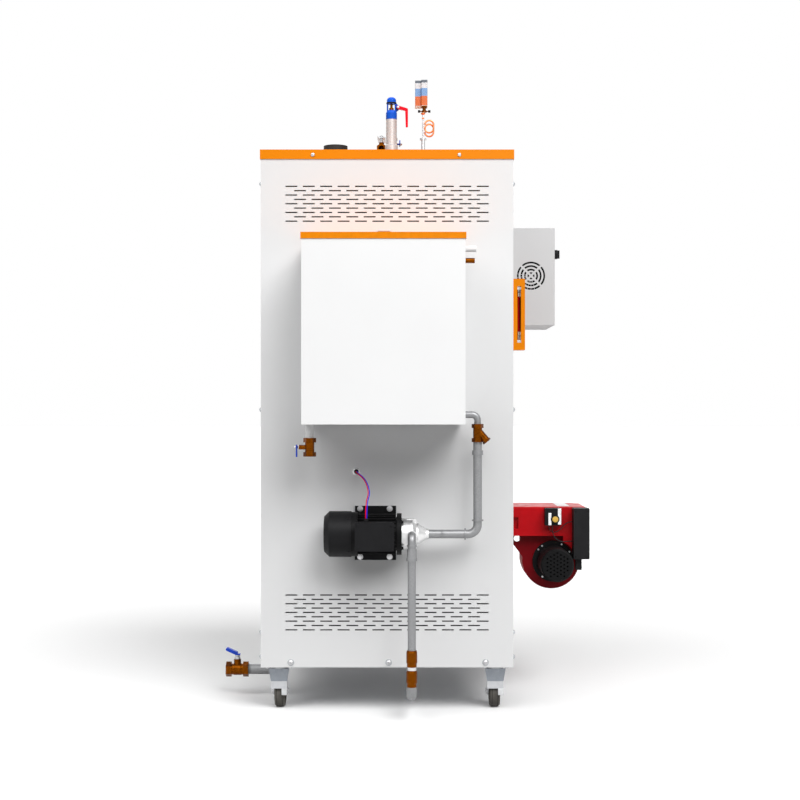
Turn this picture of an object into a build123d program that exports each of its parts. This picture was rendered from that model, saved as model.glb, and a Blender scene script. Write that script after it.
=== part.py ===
from build123d import *

import os
from math import cos, radians, sin, sqrt, tan

# Small vertical steam boiler in a sheet-steel cabinet on casters, in mm.
# Working frame: +X toward the burner, +Y away from the pump side, +Z up. The floor is z 0, and x 0,
# y 0 is under the middle of the cabinet. The last lines shift every piece so that the origin lies
# under the middle of the whole machine.

# Cabinet
CABINET_W = 800.0
CABINET_D = 1000.0
PANEL_H = 1638.5
SHEET = 1.5
PANEL_FLANGE = 20.0
PANEL_SEAM = 0.5
COVER_SKIRT = 30.0
COVER_GAP = 1.2
PAN_T = 4.0
PAN_RIM = 34.0
HOLE_GAP = 2.0

# Vent fields: staggered rows of slots
SLOT_L = 37.7
SLOT_H = 4.1
SLOT_PITCH = 55.1
SLOT_ROW_PITCH = 13.8
SLOT_ROWS = 9
SLOTS_A_ROW = 12
VENT_DROP = 114.8
VENT_RISE = 118.7

# Casters
CASTER_H = 144.0
CASTER_INSET_X = 54.0
CASTER_INSET_Y = 70.0
CASTER_TRAIL = 35.0
MOUNT_PLATE_X = 92.0
MOUNT_PLATE_Y = 78.0
MOUNT_PLATE_T = 4.0
RACE_R = 27.0
RACE_H = 8.0
KINGPIN_R = 8.0
WHEEL_R = 50.0
WHEEL_W = 33.0
WHEEL_HUB_R = 17.0
WHEEL_DISH = 5.0
AXLE_R = 6.0
FORK_T = 4.0
FORK_SIDE_GAP = 2.0
FORK_BOSS_R = 13.0
CROWN_H = 23.0
TURN_FIT = 0.05
AXIAL_GAP = 0.3
BIB_TOP_W = 66.0
BIB_WAIST_W = 52.0
BIB_WAIST_Z = 91.0
BIB_Z0 = 68.0
TAB_X = 9.0
TAB_W = 16.0
TAB_T = 6.0
TAB_Z0 = 47.0

# Boiler vessel inside the cabinet
VESSEL_R = 300.0
VESSEL_HEADROOM = 164.0
VESSEL_LEG_H = 60.0
VESSEL_LEG = 40.0
VESSEL_LEG_CIRCLE_R = 240.0
VESSEL_KNUCKLE = 60.0

# Flue outlet
FLUE_X = -185.0
FLUE_R = 42.0
FLUE_WALL = 3.0
FLUE_RISE = 99.0
FLUE_BEAD = 3.0
FLUE_COLLAR_L = 52.0

# Feed-water tank, hung on the pump-side panel
TANK_X = -8.5
TANK_W = 489.0
TANK_D = 268.0
TANK_H = 571.5
TANK_BASE = 917.0
TANK_WALL = 2.0
TANK_RAIL = 12.0
TANK_RAIL_W = 40.0
TANK_RAIL_H = 480.0
LID_SHEET = 1.5
LID_SKIRT = 17.5
LID_GAP = 1.0
LID_HANDLE_L = 62.0
LID_HANDLE_H = 23.0
LID_HANDLE_R = 3.5
INLET_R = 9.5
INLET_BORE_R = 7.0
INLET_L = 39.0
INLET_DROP = 34.5
OVERFLOW_R = 8.0
OVERFLOW_BORE_R = 5.5
OVERFLOW_L = 34.0
OVERFLOW_COLLAR_R = 11.2
OVERFLOW_COLLAR_L = 6.0
OVERFLOW_DROP = 70.5
DRAIN_X = -236.0
DRAIN_R = 14.0
DRAIN_L = 43.0

# Ball valve of the tank drain
DRAIN_VALVE_L = 57.0
DRAIN_HEX = 34.0
DRAIN_BALL_R = 14.0
DRAIN_BORE_R = 7.5
DRAIN_STEM_R = 4.0
DRAIN_STEM_L = 36.0
DRAIN_LEVER_L = 30.0
DRAIN_LEVER_W = 16.0
DRAIN_LEVER_T = 4.0

# Stems of the ball valves
BALL_SEAT = 2.0
GLAND_WALL = 3.0
LEVER_ROOM = 3.0

# Feed pump and its motor, with the axis along X
PUMP_AXIS_OFF = 90.0
PUMP_AXIS_Z = 574.5
MOTOR_X0 = -100.0
MOTOR_L = 127.0
MOTOR_R = 57.0
MOTOR_FIN = 6.0
MOTOR_FIN_T = 2.5
MOTOR_FINS = 28
END_SHIELD_L = 10.0
SPIGOT_L = 8.0
MOTOR_FLANGE_R = 64.5
MOTOR_FLANGE_L = 15.0
FAN_COVER_R = 71.0
FAN_COVER_L = 84.0
FAN_COVER_CHAMFER = 16.0
FAN_COVER_WALL = 2.0
FAN_SLOTS = 8
FOOT_PLATE_W = 130.0
FOOT_PLATE_H = 171.0
FOOT_PLATE_T = 8.0
FOOT_PLATE_DROP = 4.0
FOOT_WEB = 12.0
BOX_PAD = 9.0
TERMINAL_W = 120.0
TERMINAL_H = 88.0
TERMINAL_T = 36.0
TERMINAL_LID = 5.0
GLAND_X = -62.0
GLAND_R = 6.0
GLAND_L = 11.0
HEAD_R = 48.0
HEAD_L = 46.0
HEAD_OUT_X = 77.0
HEAD_OUT_L = 3.0
HEAD_BOSS = 28.0
HEAD_BOSS_RISE = 47.5
CONE_L = 38.0
CONE_R = 33.5
CONE_TIP_R = 16.5

# Pipes of the feed line
SUCTION_R = 13.45
SUCTION_X = 282.0
TANK_OUTLET_R = 10.5
TANK_OUTLET_RISE = 28.0
TANK_OUTLET_BEND = 18.0
SUCTION_BEND = 30.0
BEAD_R = 17.0
BEAD_L = 14.0
RING_R = 18.0
SUCTION_BEAD_DROP = 33.0
SUCTION_RING_RISE = 40.5
SUCTION_RING_OFF = 41.0
RING_L = 4.0
STRAINER_DROP = 1.0
STRAINER_L = 56.0
STRAINER_R = 14.0
STRAINER_HEX = 32.0
STRAINER_LEG_L = 40.0
STRAINER_LEG_R = 12.0
STRAINER_LEG_ANGLE = 40.0
DISCHARGE_R = 12.5
DISCHARGE_OFF = 162.0
DISCHARGE_BEND = 20.0
SLEEVE_R = 15.0
SLEEVE_L = 36.0
SLEEVE_DROP = 40.5
SLEEVE_RIM_R = 16.5
SLEEVE_RIM_L = 9.0
SLEEVE_RING_DROP = 27.5
SLEEVE_RING_L = 5.0
CHECK_TOP = 225.0
CHECK_L = 51.0
CHECK_UNION = 10.0
CHECK_R = 16.8
CHECK_END_R = 15.0
FEED_BEND = 22.0
ELBOW_R = 15.5
ELBOW_L = 32.0
ELBOW_RING_L = 7.0
FEED_AXIS_Z = 84.0
FEED_RISE_Y = -150.0

# Cable grommet and the two motor wires
GROMMET_X = -97.0
GROMMET_Z = 764.6
GROMMET_R = 12.0
GROMMET_T = 5.0
WIRE_R = 1.5
WIRE_GAP = 4.0

# Fittings on top, all near the middle of the cabinet
SAFETY_X = 11.0
SAFETY_NIPPLE_R = 13.0
SAFETY_BASE_R = 23.0
SAFETY_BASE_RISE = 105.0
SAFETY_BODY_R = 19.0
SAFETY_BODY_RISE = 193.0
BONNET_H = 78.0
BONNET_R = 19.5
BONNET_SKIRT = 22.0
BONNET_TAPER = 8.0
BONNET_DOME_R = 16.5
BONNET_DOME_FILLET = 12.0
WINDOW_RISE = 31.0
WINDOW_H = 24.0
WINDOW_W = 22.0
SPINDLE_R = 2.5
LEVER_PIVOT_X = 34.0
LEVER_PIVOT_RISE = 43.0
LEVER_PIN_R = 3.0
EAR_R = 7.0
EAR_H = 34.0
EAR_T = 6.0
LEVER_ARM = 30.0
LEVER_GRIP = 66.0
LEVER_T = 10.0
LEVER_W = 9.0
STEAM_X = -25.0
STEAM_Y = 42.0
STEAM_RISE = 100.0
STEAM_VALVE_L = 64.0
STEAM_HEX = 32.0
STEAM_BALL_R = 15.5
STEAM_BORE_R = 10.0
STEAM_STEM_R = 5.0
STEAM_GLAND_L = 8.0
STEAM_STEM_RISE = 41.0
STEAM_LEVER_L = 110.0
STEAM_LEVER_W = 26.0
STEAM_LEVER_T = 3.0
STEAM_LEVER_LIP = 5.0
STEAM_PIPE_R = 13.45
STEAM_BEND = 26.0
VENT_X = 20.0
VENT_Y = 70.0
VENT_COCK_RISE = 119.0
VENT_BODY_R = 9.0
VENT_HEX = 20.0
VENT_L = 44.0
VENT_BORE_R = 4.0
VENT_STEM_R = 3.0
VENT_STEM_L = 12.0
VENT_LEVER_L = 48.0
VENT_LEVER_W = 18.0
VENT_LEVER_T = 4.0
GAUGE_X = 122.0
GAUGE_Y = 0.0
GAUGE_PIPE_R = 6.7
GAUGE_COLLAR_R = 11.5
GAUGE_COLLAR_RISE = 124.0
GAUGE_TUBE_R = 3.4
GAUGE_TUBE_RISE = 218.0
COIL_R = 15.0
COIL_TUBE_R = 3.0
COIL_STEP = 4.0
COIL_DROP = 12.0
COIL_TURNS = 2
COIL_RISE = 174.0
SEAT_GAP = 0.3
MANIFOLD_R = 8.5
MANIFOLD_H = 20.0
KNOB_ARM = 22.0
ARM_R = 2.0
ARM_KNOB_R = 4.5
ARM_KNOB_L = 8.0
CONTROLLER_W = 21.5
CONTROLLER_D = 46.0
CONTROLLER_H = 90.0
CONTROLLER_STEP = 12.0
CONTROLLER_OFF = 6.5
CONTROLLER_LID = 8.0

# Control box on the burner side
CONTROL_D = 168.0
CONTROL_W = 313.0
CONTROL_H = 330.0
CONTROL_BASE = 1247.0
CONTROL_EDGE_R = 4.0
GRILLE_OFF = 87.0
GRILLE_RISE = 168.0
GRILLE_RINGS = 4
GRILLE_INNER_R = 9.0
GRILLE_RING_STEP = 12.0
GRILLE_SLOT = 6.0
GRILLE_SPOKE = 7.0
KNOB_Y = -60.0
KNOB_RISE = 250.0
KNOB_R = 16.0
KNOB_L = 20.0
KNOB_RIDGE_H = 6.0
KNOB_RIDGE_T = 6.0
KNOB_BEZEL_R = 18.0
KNOB_BEZEL_T = 4.0
KNOB_SHAFT_R = 5.0

# Water-level gauge and its guard
GUARD_Y = -325.0
GUARD_W = 50.0
GUARD_D = 50.0
GUARD_BASE = 1155.0
GUARD_H = 233.0
GUARD_SLOT_W = 12.0
GUARD_SLOT_END = 24.0
GLASS_OFF = 31.0
GLASS_R = 4.5
COCK_R = 9.0
COCK_H = 24.0
COCK_INSET = 10.0

# Burner
BURNER_L = 280.0
BURNER_W = 212.0
BURNER_TOP = 625.0
BURNER_H = 100.0
BURNER_CORNER = 36.0
PORT_OFF = 32.0
PORT_W = 16.0
PORT_DROP = 75.0
PORT_H = 39.0
PORT_DEPTH = 14.0
VOLUTE_OFF = 165.0
VOLUTE_DROP = 188.0
VOLUTE_R = 97.0
VOLUTE_GROWTH = 4.0
VOLUTE_NEAR = -70.0
VOLUTE_FAR = 50.0
EYE_OFF = 46.0
EYE_DROP = 12.0
EYE_R = 11.0
EYE_PLATE_T = 4.0
EYE_EDGE = 5.0
BURNER_MOTOR_OFF = 5.5
BURNER_MOTOR_DROP = 2.0
BURNER_FLANGE_R = 71.0
BURNER_FLANGE_T = 6.0
BURNER_MOTOR_R = 56.0
BURNER_MOTOR_L = 150.0
BURNER_CAP_CHAMFER = 5.0
CAP_HOLE = 7.0
CAP_PITCH = 13.0
CAP_RINGS = 3
CAP_T = 3.0
CAP_CAVITY = 20.0
CAP_WALL = 4.0
RELAY_OFF = 232.0
RELAY_W = 54.0
RELAY_H = 173.0
RELAY_T = 54.0
RELAY_DROP = 2.0
SPOUT_OFF = 9.0
SPOUT_W = 20.0
SPOUT_L = 38.0
GUSSET_T = 3.0
IGNITION_OFF = 137.0
IGNITION_W = 54.0
IGNITION_DROP = 3.0
IGNITION_H = 59.0
IGNITION_T = 30.0
BUTTON_OFF = 34.0
BUTTON_DROP = 37.5
BUTTON_R = 11.0
BUTTON_T = 8.0
LEAD_R = 1.6

# Blow-down line under the cabinet
BLOW_Y = -215.0
BLOW_Z = 87.0
BLOW_RISE_X = -352.0
BLOW_RUN_Z = 173.0
BLOW_IN_X = -100.0
BLOW_PIPE_R = 16.85
BLOW_BEND = 32.0
BLOW_IN_BEND = 20.0
BLOW_VALVE_OFF = 68.0
BLOW_VALVE_L = 75.0
BLOW_HEX = 44.0
BLOW_BALL_R = 20.0
BLOW_BORE_R = 12.5
BLOW_STEM_R = 5.0
BLOW_GLAND_R = 12.0
BLOW_GLAND_RISE = 34.0
BLOW_STEM_RISE = 50.0
BLOW_LEVER_W = 16.0
BLOW_LEVER_T = 4.0
BLOW_LEVER_RUN = 30.0
BLOW_LEVER_RISE = 15.0
BLOW_GRIP_T = 11.0
BLOW_GRIP_W = 18.0

# Places worked out from the sizes
CABINET_Z0 = CASTER_H
PANEL_TOP = CABINET_Z0 + PANEL_H
COVER_TOP = PANEL_TOP + SHEET
NEAR = -CABINET_D / 2
BURNER_SIDE = CABINET_W / 2
PUMP_Y = NEAR - PUMP_AXIS_OFF
MOTOR_X1 = MOTOR_X0 + MOTOR_L
HEAD_X0 = MOTOR_X1 + MOTOR_FLANGE_L + 4.0
HEAD_X1 = HEAD_X0 + HEAD_L
CONE_X1 = HEAD_X1 + CONE_L
DISCHARGE_Y = NEAR - DISCHARGE_OFF
TANK_BACK = NEAR - TANK_RAIL
TANK_FRONT = TANK_BACK - TANK_D
TANK_Y = (TANK_BACK + TANK_FRONT) / 2
TANK_RIGHT = TANK_X + TANK_W / 2
TANK_RIM = TANK_BASE + TANK_H
VESSEL_Z0 = CABINET_Z0 + PAN_T + VESSEL_LEG_H
SWIVEL_TOP = CASTER_H - MOUNT_PLATE_T - RACE_H
FORK_TOP = SWIVEL_TOP - AXIAL_GAP
BURNER_NEAR = -BURNER_W / 2
RELAY_NEAR = BURNER_NEAR - RELAY_T
CONTROL_NEAR = -CONTROL_W / 2
CASTER_X = BURNER_SIDE - CASTER_INSET_X
CASTER_Y = CABINET_D / 2 - CASTER_INSET_Y
VESSEL_H = COVER_TOP - VESSEL_HEADROOM - VESSEL_Z0
SAFETY_BASE_TOP = COVER_TOP + SAFETY_BASE_RISE
SAFETY_BODY_TOP = COVER_TOP + SAFETY_BODY_RISE
WINDOW_Z = SAFETY_BODY_TOP + WINDOW_RISE
LEVER_PIVOT_Z = SAFETY_BODY_TOP + LEVER_PIVOT_RISE
STEAM_Z = COVER_TOP + STEAM_RISE
STEAM_STEM_TOP = STEAM_Z + STEAM_STEM_RISE
VENT_Z = COVER_TOP + VENT_COCK_RISE
GAUGE_COLLAR_Z = COVER_TOP + GAUGE_COLLAR_RISE
GAUGE_TUBE_TOP = COVER_TOP + GAUGE_TUBE_RISE
COIL_TOP = COVER_TOP + COIL_RISE
GRILLE_X = BURNER_SIDE + GRILLE_OFF
GRILLE_Z = CONTROL_BASE + GRILLE_RISE
KNOB_Z = CONTROL_BASE + KNOB_RISE
PORT_X0 = BURNER_SIDE + PORT_OFF
PORT_X1 = PORT_X0 + PORT_W
PORT_Z0 = BURNER_TOP - PORT_DROP
VOLUTE_X = BURNER_SIDE + VOLUTE_OFF
VOLUTE_Z = BURNER_TOP - VOLUTE_DROP
EYE_X = BURNER_SIDE + EYE_OFF
EYE_Z = BURNER_TOP - BURNER_H - EYE_DROP
BURNER_MOTOR_X = VOLUTE_X + BURNER_MOTOR_OFF
BURNER_MOTOR_Z = VOLUTE_Z - BURNER_MOTOR_DROP
RELAY_X = BURNER_SIDE + RELAY_OFF
RELAY_TOP = BURNER_TOP - RELAY_DROP
SPOUT_X = RELAY_X + SPOUT_OFF
IGNITION_X = BURNER_SIDE + IGNITION_OFF
IGNITION_TOP = BURNER_TOP - IGNITION_DROP
BUTTON_X = IGNITION_X + BUTTON_OFF
BUTTON_Z = IGNITION_TOP - BUTTON_DROP
BLOW_VALVE_X = -BURNER_SIDE - BLOW_VALVE_OFF
BLOW_GLAND_TOP = BLOW_Z + BLOW_GLAND_RISE
BLOW_STEM_TOP = BLOW_Z + BLOW_STEM_RISE
SLEEVE_TOP = PUMP_AXIS_Z - SLEEVE_DROP
SLEEVE_RING_TOP = PUMP_AXIS_Z - SLEEVE_RING_DROP
SUCTION_RING_Z = PUMP_AXIS_Z + SUCTION_RING_RISE
SUCTION_RING_X = SUCTION_X - SUCTION_RING_OFF
STRAINER_TOP = TANK_BASE - STRAINER_DROP
SUCTION_BEAD_Z = STRAINER_TOP - STRAINER_L - SUCTION_BEAD_DROP
VESSEL_TOP = VESSEL_Z0 + VESSEL_H
CASTER_PLACES = {
    "front_left": (-CASTER_X, -CASTER_Y),
    "front_right": (CASTER_X, -CASTER_Y),
    "rear_left": (-CASTER_X, CASTER_Y),
    "rear_right": (CASTER_X, CASTER_Y),
}

ALONG = {
    "+x": (1, 0, 0), "-x": (-1, 0, 0),
    "+y": (0, 1, 0), "-y": (0, -1, 0),
    "+z": (0, 0, 1), "-z": (0, 0, -1),
}


# Small helpers

def block(x0, x1, y0, y1, z0, z1):
    """A box from its six faces."""
    return Pos((x0 + x1) / 2, (y0 + y1) / 2, (z0 + z1) / 2) * Box(x1 - x0, y1 - y0, z1 - z0)


def seat(start, way):
    """A plane at a point, looking along one of the six ways."""
    return Plane(origin=start, z_dir=ALONG[way])


def rod(start, way, length, radius):
    """A round bar."""
    return seat(start, way) * extrude(Circle(radius), length)


def hex_bar(start, way, length, flats):
    """A hexagonal bar, sized across its flats."""
    return seat(start, way) * extrude(RegularPolygon(flats / 2, 6, major_radius=False), length)


def turned(start, way, stations):
    """A turned piece. Its stations are pairs of distance along the axis and radius."""
    outline = [(0, stations[0][0])]
    outline += [(radius, along) for along, radius in stations]
    outline += [(0, stations[-1][0])]
    face = Plane.XZ * make_face(Polyline(*outline, close=True))
    return seat(start, way) * revolve(face, Axis.Z)


def bent(points, bend, radius):
    """A round bar along straight runs with one bend radius or a list of them."""
    path = FilletPolyline(*points, radius=bend)
    return sweep(Plane(origin=path @ 0, z_dir=path % 0) * Circle(radius), path=path)


def shell_box(x0, x1, y0, y1, z0, z1, wall, open_side):
    """A sheet box with one side open: its inside runs out through that side."""
    inner = [x0 + wall, x1 - wall, y0 + wall, y1 - wall, z0 + wall, z1 - wall]
    side = {"-x": 0, "+x": 1, "-y": 2, "+y": 3, "-z": 4, "+z": 5}[open_side]
    inner[side] = [x0, x1, y0, y1, z0, z1][side]
    return block(x0, x1, y0, y1, z0, z1) - block(*inner)


def lever_plate(points, thickness, width):
    """A flat lever bent from strip: a centre line in XZ, thickened, then as wide as the strip along Y."""
    line = Polyline(*points)
    face = offset(line, thickness / 2, kind=Kind.INTERSECTION, side=Side.BOTH)
    return Plane.XZ * extrude(make_face(face), width / 2, both=True)


# Cabinet

def base_frame():
    """Floor pan with turned-up rims, holed where the feed and blow-down pipes rise through it."""
    x, y = BURNER_SIDE - SHEET, CABINET_D / 2 - SHEET
    pan = block(-x, x, -y, y, CABINET_Z0, CABINET_Z0 + PAN_RIM)
    pan -= block(-x + PAN_T, x - PAN_T, -y + PAN_T, y - PAN_T, CABINET_Z0 + PAN_T, CABINET_Z0 + PAN_RIM)
    for place, radius in (((HEAD_OUT_X, FEED_RISE_Y), DISCHARGE_R), ((BLOW_RISE_X, BLOW_Y), BLOW_PIPE_R)):
        pan -= rod((*place, CABINET_Z0), "+z", PAN_T, radius + HOLE_GAP)
    return pan


def vent_field(top_z):
    """One field of slots, seen in the panel's own plane: long rows and short rows take turns."""
    slots = []
    for row in range(SLOT_ROWS):
        count = SLOTS_A_ROW - row % 2
        z = top_z - row * SLOT_ROW_PITCH
        slots += [Pos((i - (count - 1) / 2) * SLOT_PITCH, z) * Rectangle(SLOT_L, SLOT_H) for i in range(count)]
    return slots


def vented_panel():
    """A full-width panel in its own plane, folded back along its sides and top edge."""
    top_rows = PANEL_H - VENT_DROP
    low_rows = VENT_RISE + (SLOT_ROWS - 1) * SLOT_ROW_PITCH
    outer = Pos(0, PANEL_H / 2) * Rectangle(CABINET_W, PANEL_H)
    holes = [slot.wire() for slot in vent_field(top_rows) + vent_field(low_rows)]
    sheet = extrude(Face(outer.wire(), holes), SHEET)
    x = BURNER_SIDE
    deep = SHEET + PANEL_FLANGE
    sheet += block(-x, -x + SHEET, 0, PANEL_H, SHEET, deep)
    sheet += block(x - SHEET, x, 0, PANEL_H, SHEET, deep)
    return sheet + block(-x, x, PANEL_H - SHEET, PANEL_H, SHEET, deep)


def pump_side_panel():
    """The panel that carries the tank and the pump, holed for the cable grommet."""
    upright = Plane(origin=(0, NEAR, CABINET_Z0), x_dir=(1, 0, 0), z_dir=(0, -1, 0))
    return upright.offset(-SHEET) * mirror(vented_panel(), Plane.XY.offset(SHEET / 2))


def rear_panel():
    """The far panel repeats the pump side's vents."""
    return mirror(pump_side_panel(), Plane.XZ)


def side_panel():
    """A plain side panel, between the folds of the front and rear panels."""
    y = CABINET_D / 2 - SHEET - PANEL_FLANGE - PANEL_SEAM
    x = BURNER_SIDE
    sheet = block(x - SHEET, x, -y, y, CABINET_Z0, PANEL_TOP)
    sheet += block(x - SHEET - PANEL_FLANGE, x - SHEET, -y, y, PANEL_TOP - SHEET, PANEL_TOP)
    for end in (-y, y - SHEET):
        sheet += block(x - SHEET - PANEL_FLANGE, x - SHEET, end, end + SHEET, CABINET_Z0 + PAN_RIM, PANEL_TOP)
    return sheet


def top_cover():
    """The orange cover: a tray turned upside down, holed for the flue and the fittings."""
    x = BURNER_SIDE + COVER_GAP + SHEET
    y = CABINET_D / 2 + COVER_GAP + SHEET
    cover = shell_box(-x, x, -y, y, COVER_TOP - COVER_SKIRT, COVER_TOP, SHEET, "-z")
    risers = (
        (FLUE_X, 0, FLUE_R),
        (SAFETY_X, 0, SAFETY_NIPPLE_R),
        (STEAM_X, STEAM_Y + STEAM_VALVE_L + STEAM_BEND, STEAM_PIPE_R),
        (VENT_X, VENT_Y, VENT_BODY_R),
        (GAUGE_X, GAUGE_Y, GAUGE_PIPE_R),
    )
    for x, y, radius in risers:
        cover -= rod((x, y, PANEL_TOP - SHEET), "+z", 3 * SHEET, radius + HOLE_GAP)
    return cover


def boiler_vessel():
    """The insulated vessel on four legs."""
    jacket = rod((0, 0, VESSEL_Z0), "+z", VESSEL_H, VESSEL_R)
    jacket = fillet(jacket.edges().filter_by(GeomType.CIRCLE), VESSEL_KNUCKLE)
    reach = VESSEL_LEG_CIRCLE_R / sqrt(2)
    for x in (-reach, reach):
        for y in (-reach, reach):
            leg = block(x - VESSEL_LEG / 2, x + VESSEL_LEG / 2, y - VESSEL_LEG / 2, y + VESSEL_LEG / 2,
                        VESSEL_Z0 - VESSEL_LEG_H, VESSEL_Z0 + VESSEL_KNUCKLE)
            jacket += leg
    return jacket


def flue_outlet():
    """The smoke pipe, from the vessel up through the cover. A chimney slides over its end, down to the bead."""
    length = COVER_TOP + FLUE_RISE - VESSEL_TOP
    bead = length - FLUE_COLLAR_L
    pipe = turned((FLUE_X, 0, VESSEL_TOP), "+z", [
        (0, FLUE_R), (bead - 3 * FLUE_BEAD, FLUE_R), (bead - 2 * FLUE_BEAD, FLUE_R + FLUE_BEAD),
        (bead - FLUE_BEAD, FLUE_R + FLUE_BEAD), (bead, FLUE_R), (length, FLUE_R)])
    return pipe - rod((FLUE_X, 0, VESSEL_TOP), "+z", length, FLUE_R - FLUE_WALL)


# Feed-water tank

def water_tank():
    """Open-topped tank on two hanging rails, with its inlet stub, drain nipple and outlet hole."""
    x0, x1 = TANK_X - TANK_W / 2, TANK_RIGHT
    tank = shell_box(x0, x1, TANK_FRONT, TANK_BACK, TANK_BASE, TANK_RIM, TANK_WALL, "+z")
    rail_z = (TANK_BASE + TANK_RIM) / 2
    for x in (x0 + TANK_RAIL_W, x1 - TANK_RAIL_W):
        tank += block(x - TANK_RAIL_W / 2, x + TANK_RAIL_W / 2, TANK_BACK, NEAR,
                      rail_z - TANK_RAIL_H / 2, rail_z + TANK_RAIL_H / 2)
    tank += rod((x1, TANK_Y, TANK_RIM - INLET_DROP), "+x", INLET_L, INLET_R)
    tank -= rod((x1 - TANK_WALL, TANK_Y, TANK_RIM - INLET_DROP), "+x", INLET_L + TANK_WALL, INLET_BORE_R)
    tank += rod((DRAIN_X, TANK_Y, TANK_BASE), "-z", DRAIN_L, DRAIN_R)
    tank -= rod((DRAIN_X, TANK_Y, TANK_BASE + TANK_WALL), "-z", DRAIN_L + TANK_WALL, DRAIN_BORE_R)
    return tank


def tank_lid():
    """The lift-off lid with its bow handle."""
    x0, x1 = TANK_X - TANK_W / 2 - LID_GAP - LID_SHEET, TANK_RIGHT + LID_GAP + LID_SHEET
    y0, y1 = TANK_FRONT - LID_GAP - LID_SHEET, TANK_BACK + LID_GAP + LID_SHEET
    top = TANK_RIM + LID_SHEET
    lid = shell_box(x0, x1, y0, y1, top - LID_SKIRT - LID_SHEET, top, LID_SHEET, "-z")
    half = LID_HANDLE_L / 2 - LID_HANDLE_R
    rise = LID_HANDLE_H - LID_HANDLE_R
    bow = [(TANK_X - half, TANK_Y, top - LID_SHEET), (TANK_X - half * 0.8, TANK_Y, top + rise),
           (TANK_X + half * 0.8, TANK_Y, top + rise), (TANK_X + half, TANK_Y, top - LID_SHEET)]
    return lid + bent(bow, LID_HANDLE_R * 2.5, LID_HANDLE_R)


def tank_overflow():
    """Brass overflow stub on the burner side of the tank."""
    start = (TANK_RIGHT, TANK_Y, TANK_RIM - OVERFLOW_DROP)
    stub = turned(start, "+x", [
        (0, OVERFLOW_COLLAR_R), (OVERFLOW_COLLAR_L, OVERFLOW_COLLAR_R), (OVERFLOW_COLLAR_L, OVERFLOW_R),
        (OVERFLOW_L, OVERFLOW_R)])
    return stub - rod(start, "+x", OVERFLOW_L, OVERFLOW_BORE_R)


def valve_body(start, way, length, flats, ball_r, bore_r):
    """A ball valve's body: hexagonal ends, necks and a round middle, with its bore right through."""
    end_l, neck_r = length * 0.24, flats * 0.42
    inside, shoulder = end_l * 0.8, length * 0.36
    body = turned(start, way, [
        (inside, neck_r), (end_l * 1.2, neck_r), (shoulder, ball_r),
        (length - shoulder, ball_r), (length - end_l * 1.2, neck_r), (length - inside, neck_r)])
    body += hex_bar(start, way, end_l, flats)
    far = Vector(*start) + Vector(*ALONG[way]) * (length - end_l)
    body += hex_bar((far.X, far.Y, far.Z), way, end_l, flats)
    return body - rod(start, way, length, bore_r)


def tank_drain_valve():
    """Brass ball valve under the tank, with its stem toward the drain side."""
    top = TANK_BASE - DRAIN_L
    body = valve_body((DRAIN_X, TANK_Y, top), "-z", DRAIN_VALVE_L, DRAIN_HEX, DRAIN_BALL_R, DRAIN_BORE_R)
    middle = top - DRAIN_VALVE_L / 2
    seat_x = DRAIN_X - DRAIN_BORE_R - BALL_SEAT
    end_x = DRAIN_X - DRAIN_STEM_L
    body += rod((seat_x, TANK_Y, middle), "-x", seat_x - end_x - LEVER_ROOM, DRAIN_STEM_R + GLAND_WALL)
    return body - rod((end_x, TANK_Y, middle), "+x", seat_x - end_x - BALL_SEAT, DRAIN_STEM_R + TURN_FIT)


def tank_drain_lever():
    """Blue lever and stem of the drain valve. It hangs down, in line with the valve, when open."""
    middle = TANK_BASE - DRAIN_L - DRAIN_VALVE_L / 2
    x = DRAIN_X - DRAIN_STEM_L
    seat_x = DRAIN_X - DRAIN_BORE_R - 2 * BALL_SEAT
    half = DRAIN_LEVER_W / 2
    stem = rod((x - DRAIN_LEVER_T, TANK_Y, middle), "+x", seat_x - x + DRAIN_LEVER_T - AXIAL_GAP, DRAIN_STEM_R)
    grip = block(x - 1.5 * DRAIN_LEVER_T, x - 0.5 * DRAIN_LEVER_T, TANK_Y - half, TANK_Y + half,
                 middle - DRAIN_LEVER_L, middle + half)
    return stem + fillet(grip.edges().filter_by(Axis.X), half * 0.6)


# Feed pump

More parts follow.
